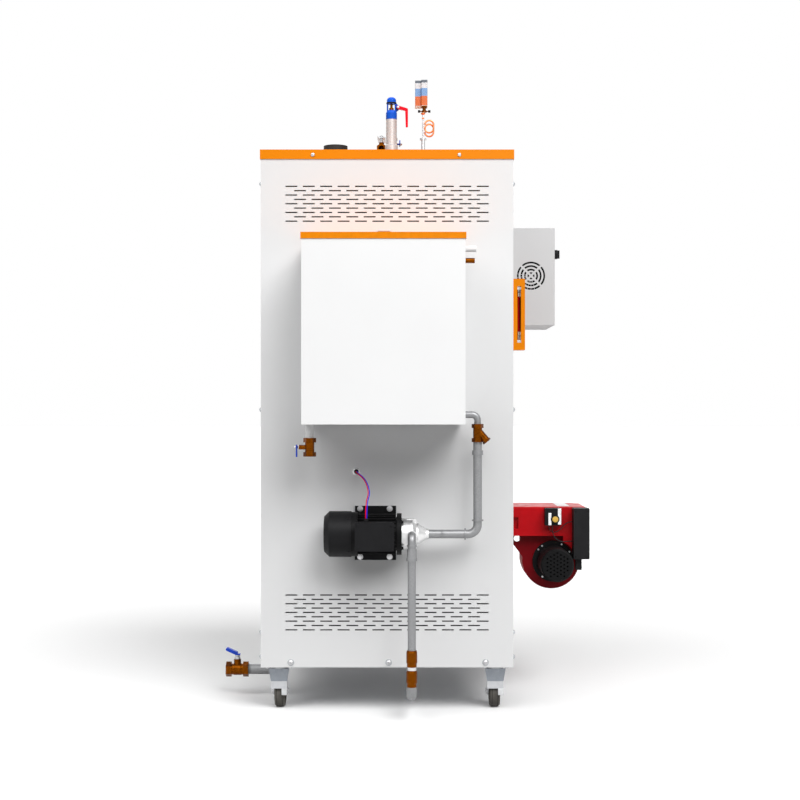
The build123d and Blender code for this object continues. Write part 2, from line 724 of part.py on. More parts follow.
def pump_motor():
    """Finned motor barrel with its end shield, drive flange, pad for the terminal box and wall feet."""
    start = (MOTOR_X0, PUMP_Y, PUMP_AXIS_Z)
    barrel = rod(start, "+x", MOTOR_L, MOTOR_R)
    fin = Pos(0, MOTOR_R) * Rectangle(MOTOR_FIN_T, 2 * MOTOR_FIN)
    fins = [Rot(0, 0, i * 360 / MOTOR_FINS) * fin for i in range(MOTOR_FINS)]
    barrel += seat((MOTOR_X0 + END_SHIELD_L, PUMP_Y, PUMP_AXIS_Z), "+x") * extrude(
        Sketch() + fins, MOTOR_L - END_SHIELD_L)
    barrel += rod((MOTOR_X0 - END_SHIELD_L - SPIGOT_L, PUMP_Y, PUMP_AXIS_Z), "+x", 2 * END_SHIELD_L + SPIGOT_L,
                  FAN_COVER_R - FAN_COVER_WALL - SEAT_GAP)
    barrel += rod((MOTOR_X1, PUMP_Y, PUMP_AXIS_Z), "+x", MOTOR_FLANGE_L + 4, MOTOR_FLANGE_R - 12)
    barrel += rod((MOTOR_X1 + 4, PUMP_Y, PUMP_AXIS_Z), "+x", MOTOR_FLANGE_L, MOTOR_FLANGE_R)
    middle = MOTOR_X0 + MOTOR_L / 2
    pad_y = PUMP_Y - MOTOR_R - MOTOR_FIN - BOX_PAD
    barrel += block(middle - TERMINAL_W * 0.4, middle + TERMINAL_W * 0.4, pad_y, PUMP_Y - MOTOR_R * 0.6,
                    PUMP_AXIS_Z - TERMINAL_H * 0.38, PUMP_AXIS_Z + TERMINAL_H * 0.38)
    half_w, half_h = FOOT_PLATE_W / 2, FOOT_PLATE_H / 2
    plate_z = PUMP_AXIS_Z - FOOT_PLATE_DROP
    barrel += block(middle - half_w, middle + half_w, NEAR - FOOT_PLATE_T, NEAR,
                    plate_z - half_h, plate_z + half_h)
    for x in (middle - half_w + FOOT_WEB, middle + half_w - FOOT_WEB):
        barrel += block(x - FOOT_WEB / 2, x + FOOT_WEB / 2, PUMP_Y + MOTOR_R / 2, NEAR - FOOT_PLATE_T,
                        PUMP_AXIS_Z - MOTOR_R * 0.8, PUMP_AXIS_Z + MOTOR_R * 0.8)
    return barrel


def motor_fan_cover():
    """Pressed cover over the motor's fan, with air slots in its end."""
    mouth = MOTOR_X0 - END_SHIELD_L
    tip = mouth - FAN_COVER_L
    length = FAN_COVER_L
    start = (tip, PUMP_Y, PUMP_AXIS_Z)
    cut, wall = FAN_COVER_CHAMFER, FAN_COVER_WALL
    outer = turned(start, "+x", [(0, FAN_COVER_R - cut), (cut, FAN_COVER_R), (length, FAN_COVER_R)])
    inner = turned((tip + wall, PUMP_Y, PUMP_AXIS_Z), "+x", [
        (0, FAN_COVER_R - cut - wall / 2), (cut - wall / 2, FAN_COVER_R - wall), (length, FAN_COVER_R - wall)])
    cover = outer - inner
    slot = Pos((FAN_COVER_R - cut) * 0.6, 0) * SlotOverall((FAN_COVER_R - cut) * 0.6, 7)
    for i in range(FAN_SLOTS):
        cover -= seat(start, "+x") * extrude(Rot(0, 0, i * 360 / FAN_SLOTS) * slot, 2 * wall)
    return cover


def terminal_box():
    """Terminal box on the motor, facing the viewer, with a lid and the cable gland on top."""
    middle = MOTOR_X0 + MOTOR_L / 2
    back = PUMP_Y - MOTOR_R - MOTOR_FIN - BOX_PAD
    half_w, half_h = TERMINAL_W / 2, TERMINAL_H / 2
    body = block(middle - half_w + 4, middle + half_w - 4, back - TERMINAL_T + TERMINAL_LID, back,
                 PUMP_AXIS_Z - half_h + 4, PUMP_AXIS_Z + half_h - 4)
    lid = block(middle - half_w, middle + half_w, back - TERMINAL_T, back - TERMINAL_T + TERMINAL_LID,
                PUMP_AXIS_Z - half_h, PUMP_AXIS_Z + half_h)
    lid = fillet(lid.edges().filter_by(Axis.Y), 6)
    gland_y = back - TERMINAL_T / 2 + TERMINAL_LID / 2
    return body + lid + hex_bar((GLAND_X, gland_y, PUMP_AXIS_Z + half_h - 4), "+z", GLAND_L + 4, 2 * GLAND_R)


def pump_head():
    """Silver pump casing with its filler boss and the outlet boss toward the viewer."""
    start = (HEAD_X0, PUMP_Y, PUMP_AXIS_Z)
    head = turned(start, "+x", [(0, HEAD_R), (HEAD_L * 0.75, HEAD_R), (HEAD_L, CONE_R)])
    half = HEAD_BOSS / 2
    head += block(HEAD_OUT_X - half, HEAD_X1, PUMP_Y - half, PUMP_Y + half,
                  PUMP_AXIS_Z, PUMP_AXIS_Z + HEAD_BOSS_RISE)
    return head + rod((HEAD_OUT_X, PUMP_Y, PUMP_AXIS_Z), "-y", HEAD_R + HEAD_OUT_L, DISCHARGE_R + 2)


def suction_cone():
    """Cone reducer between the suction pipe and the pump head."""
    return turned((HEAD_X1, PUMP_Y, PUMP_AXIS_Z), "+x", [
        (0, CONE_R), (5, CONE_R), (CONE_L - 8, CONE_TIP_R), (CONE_L, CONE_TIP_R)])


def suction_pipes():
    """Grey pipe from the tank to the strainer, and from the strainer down and across to the pump."""
    outlet_z = TANK_BASE + TANK_OUTLET_RISE
    upper = bent([(TANK_RIGHT, PUMP_Y, outlet_z), (SUCTION_X, PUMP_Y, outlet_z),
                  (SUCTION_X, PUMP_Y, STRAINER_TOP)], TANK_OUTLET_BEND, TANK_OUTLET_R)
    lower = bent([(SUCTION_X, PUMP_Y, STRAINER_TOP - STRAINER_L), (SUCTION_X, PUMP_Y, PUMP_AXIS_Z),
                  (CONE_X1, PUMP_Y, PUMP_AXIS_Z)], SUCTION_BEND, SUCTION_R)
    lower += rod((SUCTION_X, PUMP_Y, SUCTION_BEAD_Z - BEAD_L / 2), "+z", BEAD_L, BEAD_R)
    lower += rod((SUCTION_X, PUMP_Y, SUCTION_RING_Z), "+z", RING_L, RING_R)
    lower += rod((SUCTION_RING_X, PUMP_Y, PUMP_AXIS_Z), "+x", RING_L, RING_R)
    return [upper, lower]


def y_strainer():
    """Brass Y-strainer, with its sieve leg angled down toward the burner side."""
    start = (SUCTION_X, PUMP_Y, STRAINER_TOP)
    body = turned(start, "-z", [(0, STRAINER_R), (STRAINER_L, STRAINER_R)])
    body += hex_bar(start, "-z", STRAINER_L * 0.22, STRAINER_HEX)
    body += hex_bar((SUCTION_X, PUMP_Y, STRAINER_TOP - STRAINER_L), "+z", STRAINER_L * 0.22, STRAINER_HEX)
    angle = radians(STRAINER_LEG_ANGLE)
    root = (SUCTION_X, PUMP_Y, STRAINER_TOP - STRAINER_L * 0.35)
    leg = Plane(origin=root, z_dir=(sin(angle), 0, -cos(angle)))
    body += leg * extrude(Circle(STRAINER_LEG_R), STRAINER_LEG_L)
    cap = leg.offset(STRAINER_LEG_L) * extrude(RegularPolygon(STRAINER_LEG_R, 6, major_radius=False), 6)
    return body + cap


def discharge_pipes():
    """Grey pipe from the pump head down to the check valves, and on under the cabinet to the vessel."""
    head_y = PUMP_Y - HEAD_R - HEAD_OUT_L
    upper = bent([(HEAD_OUT_X, head_y, PUMP_AXIS_Z), (HEAD_OUT_X, DISCHARGE_Y, PUMP_AXIS_Z),
                  (HEAD_OUT_X, DISCHARGE_Y, CHECK_TOP)], DISCHARGE_BEND, DISCHARGE_R)
    upper += rod((HEAD_OUT_X, DISCHARGE_Y, SLEEVE_TOP), "-z", SLEEVE_L, SLEEVE_R)
    upper += rod((HEAD_OUT_X, DISCHARGE_Y, SLEEVE_TOP - SLEEVE_L), "+z", SLEEVE_RIM_L, SLEEVE_RIM_R)
    upper += rod((HEAD_OUT_X, DISCHARGE_Y, SLEEVE_RING_TOP), "-z", SLEEVE_RING_L, SLEEVE_R)
    bottom = CHECK_TOP - 2 * CHECK_L - CHECK_UNION
    lower = bent([(HEAD_OUT_X, DISCHARGE_Y, bottom), (HEAD_OUT_X, DISCHARGE_Y, FEED_AXIS_Z),
                  (HEAD_OUT_X, FEED_RISE_Y, FEED_AXIS_Z), (HEAD_OUT_X, FEED_RISE_Y, VESSEL_Z0)],
                 FEED_BEND, DISCHARGE_R)
    lower += bent([(HEAD_OUT_X, DISCHARGE_Y, bottom - 2), (HEAD_OUT_X, DISCHARGE_Y, FEED_AXIS_Z),
                   (HEAD_OUT_X, DISCHARGE_Y + ELBOW_L, FEED_AXIS_Z)], FEED_BEND, ELBOW_R)
    lower += rod((HEAD_OUT_X, DISCHARGE_Y, bottom), "-z", ELBOW_RING_L, CHECK_R)
    return [upper, lower]


def check_valves():
    """Two brass check valves in a row, with the union ring between them."""
    def valve(top):
        return turned((HEAD_OUT_X, DISCHARGE_Y, top), "-z", [
            (0, CHECK_END_R), (CHECK_L * 0.12, CHECK_R), (CHECK_L * 0.72, CHECK_R),
            (CHECK_L * 0.8, CHECK_END_R), (CHECK_L, CHECK_END_R)])

    second = CHECK_TOP - CHECK_L - CHECK_UNION
    union = rod((HEAD_OUT_X, DISCHARGE_Y, second), "+z", CHECK_UNION, CHECK_END_R - 1)
    return valve(CHECK_TOP) + union + valve(second)


# Cable grommet and motor wires

def cable_grommet():
    """Ring and sealed middle where the motor wires leave the panel."""
    start = (GROMMET_X, NEAR, GROMMET_Z)
    return turned(start, "-y", [(0, GROMMET_R), (GROMMET_T * 0.5, GROMMET_R), (GROMMET_T, GROMMET_R - 3)])


def wire_route(side):
    """Points of one motor wire, from the grommet to the gland on the terminal box."""
    shift = side * WIRE_GAP / 2
    gland_top = PUMP_AXIS_Z + TERMINAL_H / 2 + GLAND_L
    gland_y = PUMP_Y - MOTOR_R - MOTOR_FIN - BOX_PAD - TERMINAL_T / 2 + TERMINAL_LID / 2
    return [
        (GROMMET_X + shift, NEAR - GROMMET_T, GROMMET_Z),
        (GROMMET_X + shift, NEAR - GROMMET_T - 34, GROMMET_Z),
        (GROMMET_X + shift + 31, NEAR - GROMMET_T - 75, GROMMET_Z - 22),
        (GLAND_X + shift + 10, gland_y + 38, GROMMET_Z - 60),
        (GLAND_X + shift, gland_y, gland_top + 48),
        (GLAND_X + shift, gland_y, gland_top),
    ]


def cord(points, radius):
    """A free cord: straight runs joined by arcs as large as their runs allow."""
    corners = [Vector(*p) for p in points]
    radii = []
    for before, at, after in zip(corners, corners[1:], corners[2:]):
        run = min((at - before).length, (after - at).length)
        turn = (at - before).get_angle(after - at)
        radii.append(0.45 * run / tan(radians(turn / 2)))
    print("cord radii", [round(r, 1) for r in radii], "diameter", 2 * radius)
    path = FilletPolyline(*points, radius=radii)
    return sweep(Plane(origin=path @ 0, z_dir=path % 0) * Circle(radius), path=path)


# Fittings on top

def safety_valve_body():
    """Silver safety valve body on its nipple from the vessel."""
    base = COVER_TOP + 4 - VESSEL_TOP
    return turned((SAFETY_X, 0, VESSEL_TOP), "+z", [
        (0, SAFETY_NIPPLE_R), (base, SAFETY_NIPPLE_R), (base, SAFETY_BASE_R),
        (SAFETY_BASE_TOP - VESSEL_TOP - 4, SAFETY_BASE_R), (SAFETY_BASE_TOP - VESSEL_TOP, SAFETY_BODY_R),
        (SAFETY_BODY_TOP - VESSEL_TOP, SAFETY_BODY_R)])


def safety_valve_bonnet():
    """Blue bonnet with an open window that shows the spindle, and the ear that carries the lever."""
    z = SAFETY_BODY_TOP
    bonnet = turned((SAFETY_X, 0, z), "+z", [
        (0, BONNET_R), (BONNET_SKIRT, BONNET_R), (BONNET_SKIRT + BONNET_TAPER, BONNET_DOME_R),
        (BONNET_H, BONNET_DOME_R)])
    rim = bonnet.edges().filter_by(GeomType.CIRCLE).sort_by(Axis.Z)[-1]
    bonnet = fillet(rim, BONNET_DOME_FILLET)
    half = WINDOW_W / 2
    bonnet -= block(SAFETY_X - half, SAFETY_X + half, -BONNET_R, BONNET_R, WINDOW_Z, WINDOW_Z + WINDOW_H)
    bonnet += rod((SAFETY_X, 0, WINDOW_Z - 1), "+z", WINDOW_H + 2, SPINDLE_R)
    ear = make_hull([*(Pos(LEVER_PIVOT_X, LEVER_PIVOT_Z) * Circle(EAR_R)).edges(),
                     *(Pos(SAFETY_X + BONNET_DOME_R - 3, LEVER_PIVOT_Z) * Rectangle(4, EAR_H)).edges()])
    y = LEVER_W / 2 + SEAT_GAP
    bonnet += Plane(origin=(0, y, 0), x_dir=(1, 0, 0), z_dir=(0, -1, 0)) * extrude(ear, -EAR_T)
    return bonnet + rod((LEVER_PIVOT_X, -LEVER_W / 2, LEVER_PIVOT_Z), "+y", LEVER_W + EAR_T, LEVER_PIN_R)


def safety_valve_lever():
    """Red test lever: an arm out from the pivot and a grip down."""
    end_x, end_z = LEVER_PIVOT_X + LEVER_ARM, LEVER_PIVOT_Z - 8
    face = make_hull([*(Pos(LEVER_PIVOT_X, LEVER_PIVOT_Z) * Circle(6)).edges(),
                      *(Pos(end_x, end_z) * Circle(LEVER_T / 2)).edges()])
    face += make_hull([*(Pos(end_x, end_z) * Circle(LEVER_T / 2)).edges(),
                       *(Pos(end_x + 1, end_z - LEVER_GRIP + 8) * Circle(LEVER_T / 2 - 1)).edges()])
    lever = Plane.XZ * extrude(face, LEVER_W / 2, both=True)
    return lever - rod((LEVER_PIVOT_X, -LEVER_W, LEVER_PIVOT_Z), "+y", 2 * LEVER_W, LEVER_PIN_R + TURN_FIT)


def steam_valves():
    """The main steam ball valve on its riser, and the small vent cock beside it."""
    start = (STEAM_X, STEAM_Y, STEAM_Z)
    steam = valve_body(start, "+y", STEAM_VALVE_L, STEAM_HEX, STEAM_BALL_R, STEAM_BORE_R)
    middle = STEAM_Y + STEAM_VALVE_L / 2
    gland = STEAM_BALL_R - STEAM_BORE_R + STEAM_GLAND_L
    steam += rod((STEAM_X, middle, STEAM_Z + STEAM_BORE_R + 2), "+z", gland, STEAM_STEM_R + 4)
    steam -= rod((STEAM_X, middle, STEAM_Z + STEAM_BORE_R + 4), "+z", gland, STEAM_STEM_R + TURN_FIT)
    back = STEAM_Y + STEAM_VALVE_L
    riser = bent([(STEAM_X, back, STEAM_Z), (STEAM_X, back + STEAM_BEND, STEAM_Z),
                  (STEAM_X, back + STEAM_BEND, VESSEL_TOP)], STEAM_BEND * 0.8, STEAM_PIPE_R)
    steam += riser

    vent = rod((VENT_X, VENT_Y, VESSEL_TOP), "+z", VENT_Z - VENT_L / 2 - VESSEL_TOP + 1, VENT_BODY_R)
    vent += valve_body((VENT_X, VENT_Y, VENT_Z - VENT_L / 2), "+z", VENT_L, VENT_HEX, VENT_BODY_R, VENT_BORE_R)
    seat_x = VENT_X + VENT_BORE_R + BALL_SEAT
    vent += rod((seat_x - 1, VENT_Y, VENT_Z), "+x", VENT_BODY_R - VENT_BORE_R + 1, VENT_STEM_R + 2)
    vent -= rod((seat_x, VENT_Y, VENT_Z), "+x", VENT_BODY_R, VENT_STEM_R + TURN_FIT)
    return [steam, vent]


def steam_valve_lever():
    """Grey lever of the steam valve, in line with the valve when open."""
    middle = STEAM_Y + STEAM_VALVE_L / 2
    foot = STEAM_Z + STEAM_BORE_R + 4 + AXIAL_GAP
    lever = rod((STEAM_X, middle, foot), "+z", STEAM_STEM_TOP - foot, STEAM_STEM_R)
    half = STEAM_LEVER_W / 2
    z = STEAM_STEM_TOP + STEAM_LEVER_T / 2
    section = [(STEAM_X - half, z + STEAM_LEVER_LIP), (STEAM_X - half / 2, z), (STEAM_X + half, z)]
    grip = lever_plate(section, STEAM_LEVER_T, STEAM_LEVER_L)
    return lever + Pos(0, middle - STEAM_STEM_R - 3 + STEAM_LEVER_L / 2, 0) * grip


def vent_cock_lever():
    """Blue lever of the vent cock, level when closed."""
    start = VENT_X + VENT_BORE_R + BALL_SEAT + AXIAL_GAP
    lever = rod((start, VENT_Y, VENT_Z), "+x", VENT_STEM_L, VENT_STEM_R)
    x = start + VENT_STEM_L
    half = VENT_LEVER_W / 2
    grip = block(x, x + VENT_LEVER_T, VENT_Y - VENT_LEVER_L + half, VENT_Y + half, VENT_Z - half, VENT_Z + half)
    return lever + fillet(grip.edges().filter_by(Axis.X), half * 0.9)


def gauge_standpipe():
    """Standpipe with its collar and the thin gauge tube above it."""
    collar = GAUGE_COLLAR_Z - VESSEL_TOP
    top = GAUGE_TUBE_TOP - VESSEL_TOP
    return turned((GAUGE_X, GAUGE_Y, VESSEL_TOP), "+z", [
        (0, GAUGE_PIPE_R), (collar - 3, GAUGE_PIPE_R), (collar - 3, GAUGE_COLLAR_R),
        (collar + 3, GAUGE_COLLAR_R), (collar + 3, GAUGE_TUBE_R), (top, GAUGE_TUBE_R)])


def siphon_coil():
    """Copper coil beside the gauge tube: half circles over and under, each a step deeper and lower."""
    left = GAUGE_X + GAUGE_TUBE_R + SEAT_GAP + COIL_TUBE_R
    right = left + 2 * COIL_R
    reach = sqrt(COIL_R ** 2 + (COIL_STEP / 2) ** 2)
    y = GAUGE_Y - COIL_TURNS * COIL_STEP
    z = COIL_TOP
    runs = []
    middle = left + COIL_R
    for _ in range(COIL_TURNS):
        lower, over, under = z - COIL_DROP, y + COIL_STEP, y + 2 * COIL_STEP
        runs.append(ThreePointArc((left, y, z), (middle, (y + over) / 2, z + reach), (right, over, z)))
        runs.append(Line((right, over, z), (right, over, lower)))
        runs.append(ThreePointArc((right, over, lower), (middle, (over + under) / 2, lower - reach),
                                  (left, under, lower)))
        y, z = under, lower
    path = Wire(runs)
    return sweep(Plane(origin=path @ 0, z_dir=path % 0) * Circle(COIL_TUBE_R), path=path)


def gauge_manifold():
    """Brass cross under the controllers, with a black knob on each side."""
    x, z = GAUGE_X + 4, GAUGE_TUBE_TOP
    cross = turned((x, GAUGE_Y, z), "+z", [
        (0, MANIFOLD_R), (6, MANIFOLD_R), (9, MANIFOLD_R * 0.7), (MANIFOLD_H - 5, MANIFOLD_R * 0.7),
        (MANIFOLD_H - 5, MANIFOLD_R * 1.2), (MANIFOLD_H, MANIFOLD_R * 1.2)])
    arm = KNOB_ARM - ARM_KNOB_L
    for way in ("-x", "+x"):
        cross += turned((x, GAUGE_Y, z + 4), way, [
            (0, ARM_R), (arm, ARM_R), (arm, ARM_KNOB_R), (KNOB_ARM, ARM_KNOB_R)])
    return cross


def pressure_controllers():
    """Two pressure controllers side by side, one set back from the other, each with a lipped lid."""
    base = GAUGE_TUBE_TOP + MANIFOLD_H

    def controller(x0, y0):
        x1, y1 = x0 + CONTROLLER_W, y0 + CONTROLLER_D
        case = block(x0, x1, y0, y1, base, base + CONTROLLER_H)
        case = fillet(case.edges().filter_by(Axis.Z), 2)
        top = base + CONTROLLER_H
        groove = block(x0 - 1, x1 + 1, y0 - 1, y1 + 1, top - CONTROLLER_LID - 2, top - CONTROLLER_LID)
        core = block(x0 + 1, x1 - 1, y0 + 1, y1 - 1, top - CONTROLLER_LID - 3, top - CONTROLLER_LID + 1)
        return case - groove + core

    near_y = GAUGE_Y - CONTROLLER_D / 2
    x = GAUGE_X - CONTROLLER_OFF
    return controller(x, near_y) + controller(x - CONTROLLER_W, near_y + CONTROLLER_STEP)


# Control box and level gauge

def grille_slots():
    """Rings of arc slots round a centre, broken by diagonal spokes."""
    rings = Sketch()
    for i in range(GRILLE_RINGS):
        radius = GRILLE_INNER_R + i * GRILLE_RING_STEP
        rings += Circle(radius + GRILLE_SLOT / 2) - Circle(radius - GRILLE_SLOT / 2)
    reach = 2 * (GRILLE_INNER_R + GRILLE_RINGS * GRILLE_RING_STEP)
    for turn in (45, 135):
        rings -= Rot(0, 0, turn) * Rectangle(reach, GRILLE_SPOKE)
    return rings


def control_box():
    """Sheet box on the burner side, open toward the panel, with a round fan grille and the switch's hole."""
    x1 = BURNER_SIDE + CONTROL_D
    box = block(BURNER_SIDE, x1, CONTROL_NEAR, -CONTROL_NEAR, CONTROL_BASE, CONTROL_BASE + CONTROL_H)
    box = fillet(box.edges().filter_by(Axis.Z).sort_by(Axis.X)[-2:], CONTROL_EDGE_R)
    box -= block(BURNER_SIDE, x1 - SHEET, CONTROL_NEAR + SHEET, -CONTROL_NEAR - SHEET,
                 CONTROL_BASE + SHEET, CONTROL_BASE + CONTROL_H - SHEET)
    face = Plane(origin=(GRILLE_X, CONTROL_NEAR - 1, GRILLE_Z), x_dir=(1, 0, 0), z_dir=(0, -1, 0))
    box -= face * extrude(grille_slots(), -SHEET - 2)
    box += rod((x1 - SHEET, KNOB_Y, KNOB_Z), "-x", 10, KNOB_SHAFT_R + 5)
    return box - rod((x1 + 1, KNOB_Y, KNOB_Z), "-x", 8, KNOB_SHAFT_R + TURN_FIT)


def control_knob():
    """Rotary switch: bezel, grip and shaft."""
    x1 = BURNER_SIDE + CONTROL_D
    start = x1 + AXIAL_GAP
    knob = turned((start, KNOB_Y, KNOB_Z), "+x", [
        (0, KNOB_BEZEL_R), (KNOB_BEZEL_T, KNOB_BEZEL_R), (KNOB_BEZEL_T, KNOB_R),
        (KNOB_L - 2, KNOB_R), (KNOB_L, KNOB_R - 2)])
    knob += block(start + KNOB_L - 1, start + KNOB_L + KNOB_RIDGE_H, KNOB_Y - KNOB_RIDGE_T / 2,
                  KNOB_Y + KNOB_RIDGE_T / 2, KNOB_Z - KNOB_R + 2, KNOB_Z + KNOB_R - 2)
    return knob + rod((start, KNOB_Y, KNOB_Z), "-x", 6, KNOB_SHAFT_R)


def level_gauge_guard():
    """Orange sheet guard round the gauge glass, with a long slot in each face."""
    x0, x1 = BURNER_SIDE, BURNER_SIDE + GUARD_D
    y0, y1 = GUARD_Y - GUARD_W / 2, GUARD_Y + GUARD_W / 2
    z0, z1 = GUARD_BASE, GUARD_BASE + GUARD_H
    guard = shell_box(x0, x1, y0, y1, z0, z1, SHEET, "-x")
    half = GUARD_SLOT_W / 2
    x = x0 + GLASS_OFF
    guard -= block(x - half, x + half, y0 - 1, y1 + 1, z0 + GUARD_SLOT_END, z1 - GUARD_SLOT_END)
    return guard - block(x1 - 2 * SHEET, x1 + 1, GUARD_Y - half, GUARD_Y + half,
                         z0 + GUARD_SLOT_END, z1 - GUARD_SLOT_END)


def level_gauge_cocks():
    """Upper and lower cocks of the gauge, fixed to the panel."""
    x = BURNER_SIDE + GLASS_OFF

    def cock(z0, z1):
        nut = hex_bar((x, GUARD_Y, z0), "+z", z1 - z0, 2 * COCK_R)
        return nut + rod((BURNER_SIDE, GUARD_Y, (z0 + z1) / 2), "+x", GLASS_OFF, COCK_R * 0.7)

    low = GUARD_BASE + COCK_INSET
    high = GUARD_BASE + GUARD_H - COCK_INSET
    return [cock(low, low + COCK_H), cock(high - COCK_H, high)]


def level_gauge_glass():
    """Red-backed gauge glass between the cocks, with a sleeve at each end."""
    low = GUARD_BASE + COCK_INSET + COCK_H
    length = GUARD_H - 2 * (COCK_INSET + COCK_H)
    sleeve = 8
    return turned((BURNER_SIDE + GLASS_OFF, GUARD_Y, low), "+z", [
        (0, GLASS_R + 1.5), (sleeve, GLASS_R + 1.5), (sleeve, GLASS_R), (length - sleeve, GLASS_R),
        (length - sleeve, GLASS_R + 1.5), (length, GLASS_R + 1.5)])


# Burner

def burner_housing():
    """Red housing with one corner cut off and the gusset that carries the relay box."""
    x1 = BURNER_SIDE + BURNER_L
    y0, y1 = BURNER_NEAR, -BURNER_NEAR
    z0 = BURNER_TOP - BURNER_H
    plan = Polyline((BURNER_SIDE, y0), (x1, y0), (x1, y1 - BURNER_CORNER), (x1 - BURNER_CORNER, y1),
                    (BURNER_SIDE, y1), close=True)
    housing = Pos(0, 0, z0) * extrude(make_face(plan), BURNER_H)
    housing = fillet(housing.faces().sort_by(Axis.Z)[-1].edges(), 5)
    housing -= block(PORT_X0, PORT_X1, y0, y0 + PORT_DEPTH, PORT_Z0, PORT_Z0 + PORT_H)
    gusset = block(RELAY_X - 30, RELAY_X + RELAY_W * 0.6, y0, y0 + GUSSET_T, z0 - 62, z0)
    gusset -= rod((BURNER_MOTOR_X, y0 - 1, BURNER_MOTOR_Z), "+y", GUSSET_T + 2, BURNER_FLANGE_R + 5)
    return housing + gusset


def burner_volute():
    """Fan casing: a scroll of two quarter turns, its neck up to the housing, and the eye plate beside it."""
    top = BURNER_TOP - BURNER_H
    wide = VOLUTE_R + VOLUTE_GROWTH
    first = CenterArc((VOLUTE_X, VOLUTE_Z), VOLUTE_R, 0, -90)
    second = CenterArc((VOLUTE_X, VOLUTE_Z + VOLUTE_GROWTH), wide, -90, -90)
    neck = Polyline(second @ 1, (VOLUTE_X - wide, top), (VOLUTE_X + VOLUTE_R, top), first @ 0)
    near_plane = Plane(origin=(0, VOLUTE_NEAR, 0), x_dir=(1, 0, 0), z_dir=(0, -1, 0))
    casing = near_plane * extrude(make_face([first, second, neck]), VOLUTE_NEAR - VOLUTE_FAR)
    left = EYE_X - EYE_R - EYE_EDGE
    plate = Polyline((left, top), (left, EYE_Z - EYE_R - EYE_EDGE), (VOLUTE_X - wide + 2, VOLUTE_Z + EYE_R),
                     (VOLUTE_X - wide + 2, top), close=True)
    eye = make_face(plate) - Pos(EYE_X, EYE_Z) * Circle(EYE_R)
    return casing + near_plane * extrude(eye, -EYE_PLATE_T)


def burner_motor():
    """Black burner motor: flange, barrel and a perforated end with holes in a honeycomb pattern."""
    near = VOLUTE_NEAR
    tip = near - BURNER_MOTOR_L
    motor = rod((BURNER_MOTOR_X, near, BURNER_MOTOR_Z), "-y", BURNER_FLANGE_T, BURNER_FLANGE_R)
    motor += turned((BURNER_MOTOR_X, near, BURNER_MOTOR_Z), "-y", [
        (0, BURNER_MOTOR_R), (BURNER_MOTOR_L - BURNER_CAP_CHAMFER, BURNER_MOTOR_R),
        (BURNER_MOTOR_L, BURNER_MOTOR_R - BURNER_CAP_CHAMFER)])
    inside = BURNER_MOTOR_R - BURNER_CAP_CHAMFER - CAP_WALL
    motor -= rod((BURNER_MOTOR_X, tip + CAP_T, BURNER_MOTOR_Z), "+y", CAP_CAVITY, inside)
    holes = HexLocations(CAP_PITCH / 2, 2 * CAP_RINGS + 1, 2 * CAP_RINGS + 1)
    reach = inside - CAP_HOLE / 2
    spots = [spot for spot in holes if spot.position.length < reach]
    pattern = Sketch() + [spot * RegularPolygon(CAP_HOLE / 2, 6) for spot in spots]
    face = Plane(origin=(BURNER_MOTOR_X, tip - 1, BURNER_MOTOR_Z), x_dir=(1, 0, 0), z_dir=(0, -1, 0))
    return motor - face * extrude(pattern, -CAP_T - 2)


def burner_relay_box():
    """Black relay box on the near side of the housing, with its cable spout."""
    z0 = RELAY_TOP - RELAY_H
    box = block(RELAY_X, RELAY_X + RELAY_W, RELAY_NEAR, BURNER_NEAR, z0, RELAY_TOP)
    box = fillet(box.edges().filter_by(Axis.Y), 4)
    spout_y = (RELAY_NEAR + BURNER_NEAR) / 2
    half = SPOUT_W / 2
    return box + block(SPOUT_X, SPOUT_X + SPOUT_W, spout_y - half, spout_y + half, z0 - SPOUT_L, z0 + 1)


def burner_ignition_block():
    """Ignition block with its round button."""
    box = block(IGNITION_X, IGNITION_X + IGNITION_W, BURNER_NEAR - IGNITION_T, BURNER_NEAR,
                IGNITION_TOP - IGNITION_H, IGNITION_TOP)
    box = fillet(box.edges().filter_by(Axis.Y), 3)
    return box + rod((BUTTON_X, BURNER_NEAR - IGNITION_T, BUTTON_Z), "-y", BUTTON_T, BUTTON_R)


def upper_lead_route():
    """Points of the upper lead, from under the ignition block up to the relay box's side."""
    bottom, y = IGNITION_TOP - IGNITION_H, BURNER_NEAR - IGNITION_T / 2
    x = IGNITION_X + 14
    return [(x, y, bottom), (x, y, bottom - 20), (x + 29, y - 2, bottom - 27),
            (RELAY_X - 20, y, bottom + 12), (RELAY_X, y, bottom + 12)]


def lower_lead_route():
    """Points of the lower lead, which hangs further down before it enters the relay box."""
    bottom, y = IGNITION_TOP - IGNITION_H, BURNER_NEAR - IGNITION_T / 2 - 9
    x = IGNITION_X + 25
    return [(x, y, bottom), (x, y, bottom - 36), (x + 28, y - 3, bottom - 57),
            (RELAY_X - 20, y, bottom - 54), (RELAY_X, y, bottom - 54)]


# Blow-down line

def blowdown_pipe():
    """Pipe from the bottom of the vessel, out under the cabinet on the drain side."""
    outside = bent([(BLOW_VALVE_X, BLOW_Y, BLOW_Z), (BLOW_RISE_X, BLOW_Y, BLOW_Z),
                    (BLOW_RISE_X, BLOW_Y, BLOW_RUN_Z), (BLOW_IN_X, BLOW_Y, BLOW_RUN_Z)], BLOW_BEND, BLOW_PIPE_R)
    rise = bent([(BLOW_IN_X - 2 * BLOW_IN_BEND, BLOW_Y, BLOW_RUN_Z), (BLOW_IN_X, BLOW_Y, BLOW_RUN_Z),
                 (BLOW_IN_X, BLOW_Y, VESSEL_Z0)], BLOW_IN_BEND, BLOW_PIPE_R)
    return outside + rise


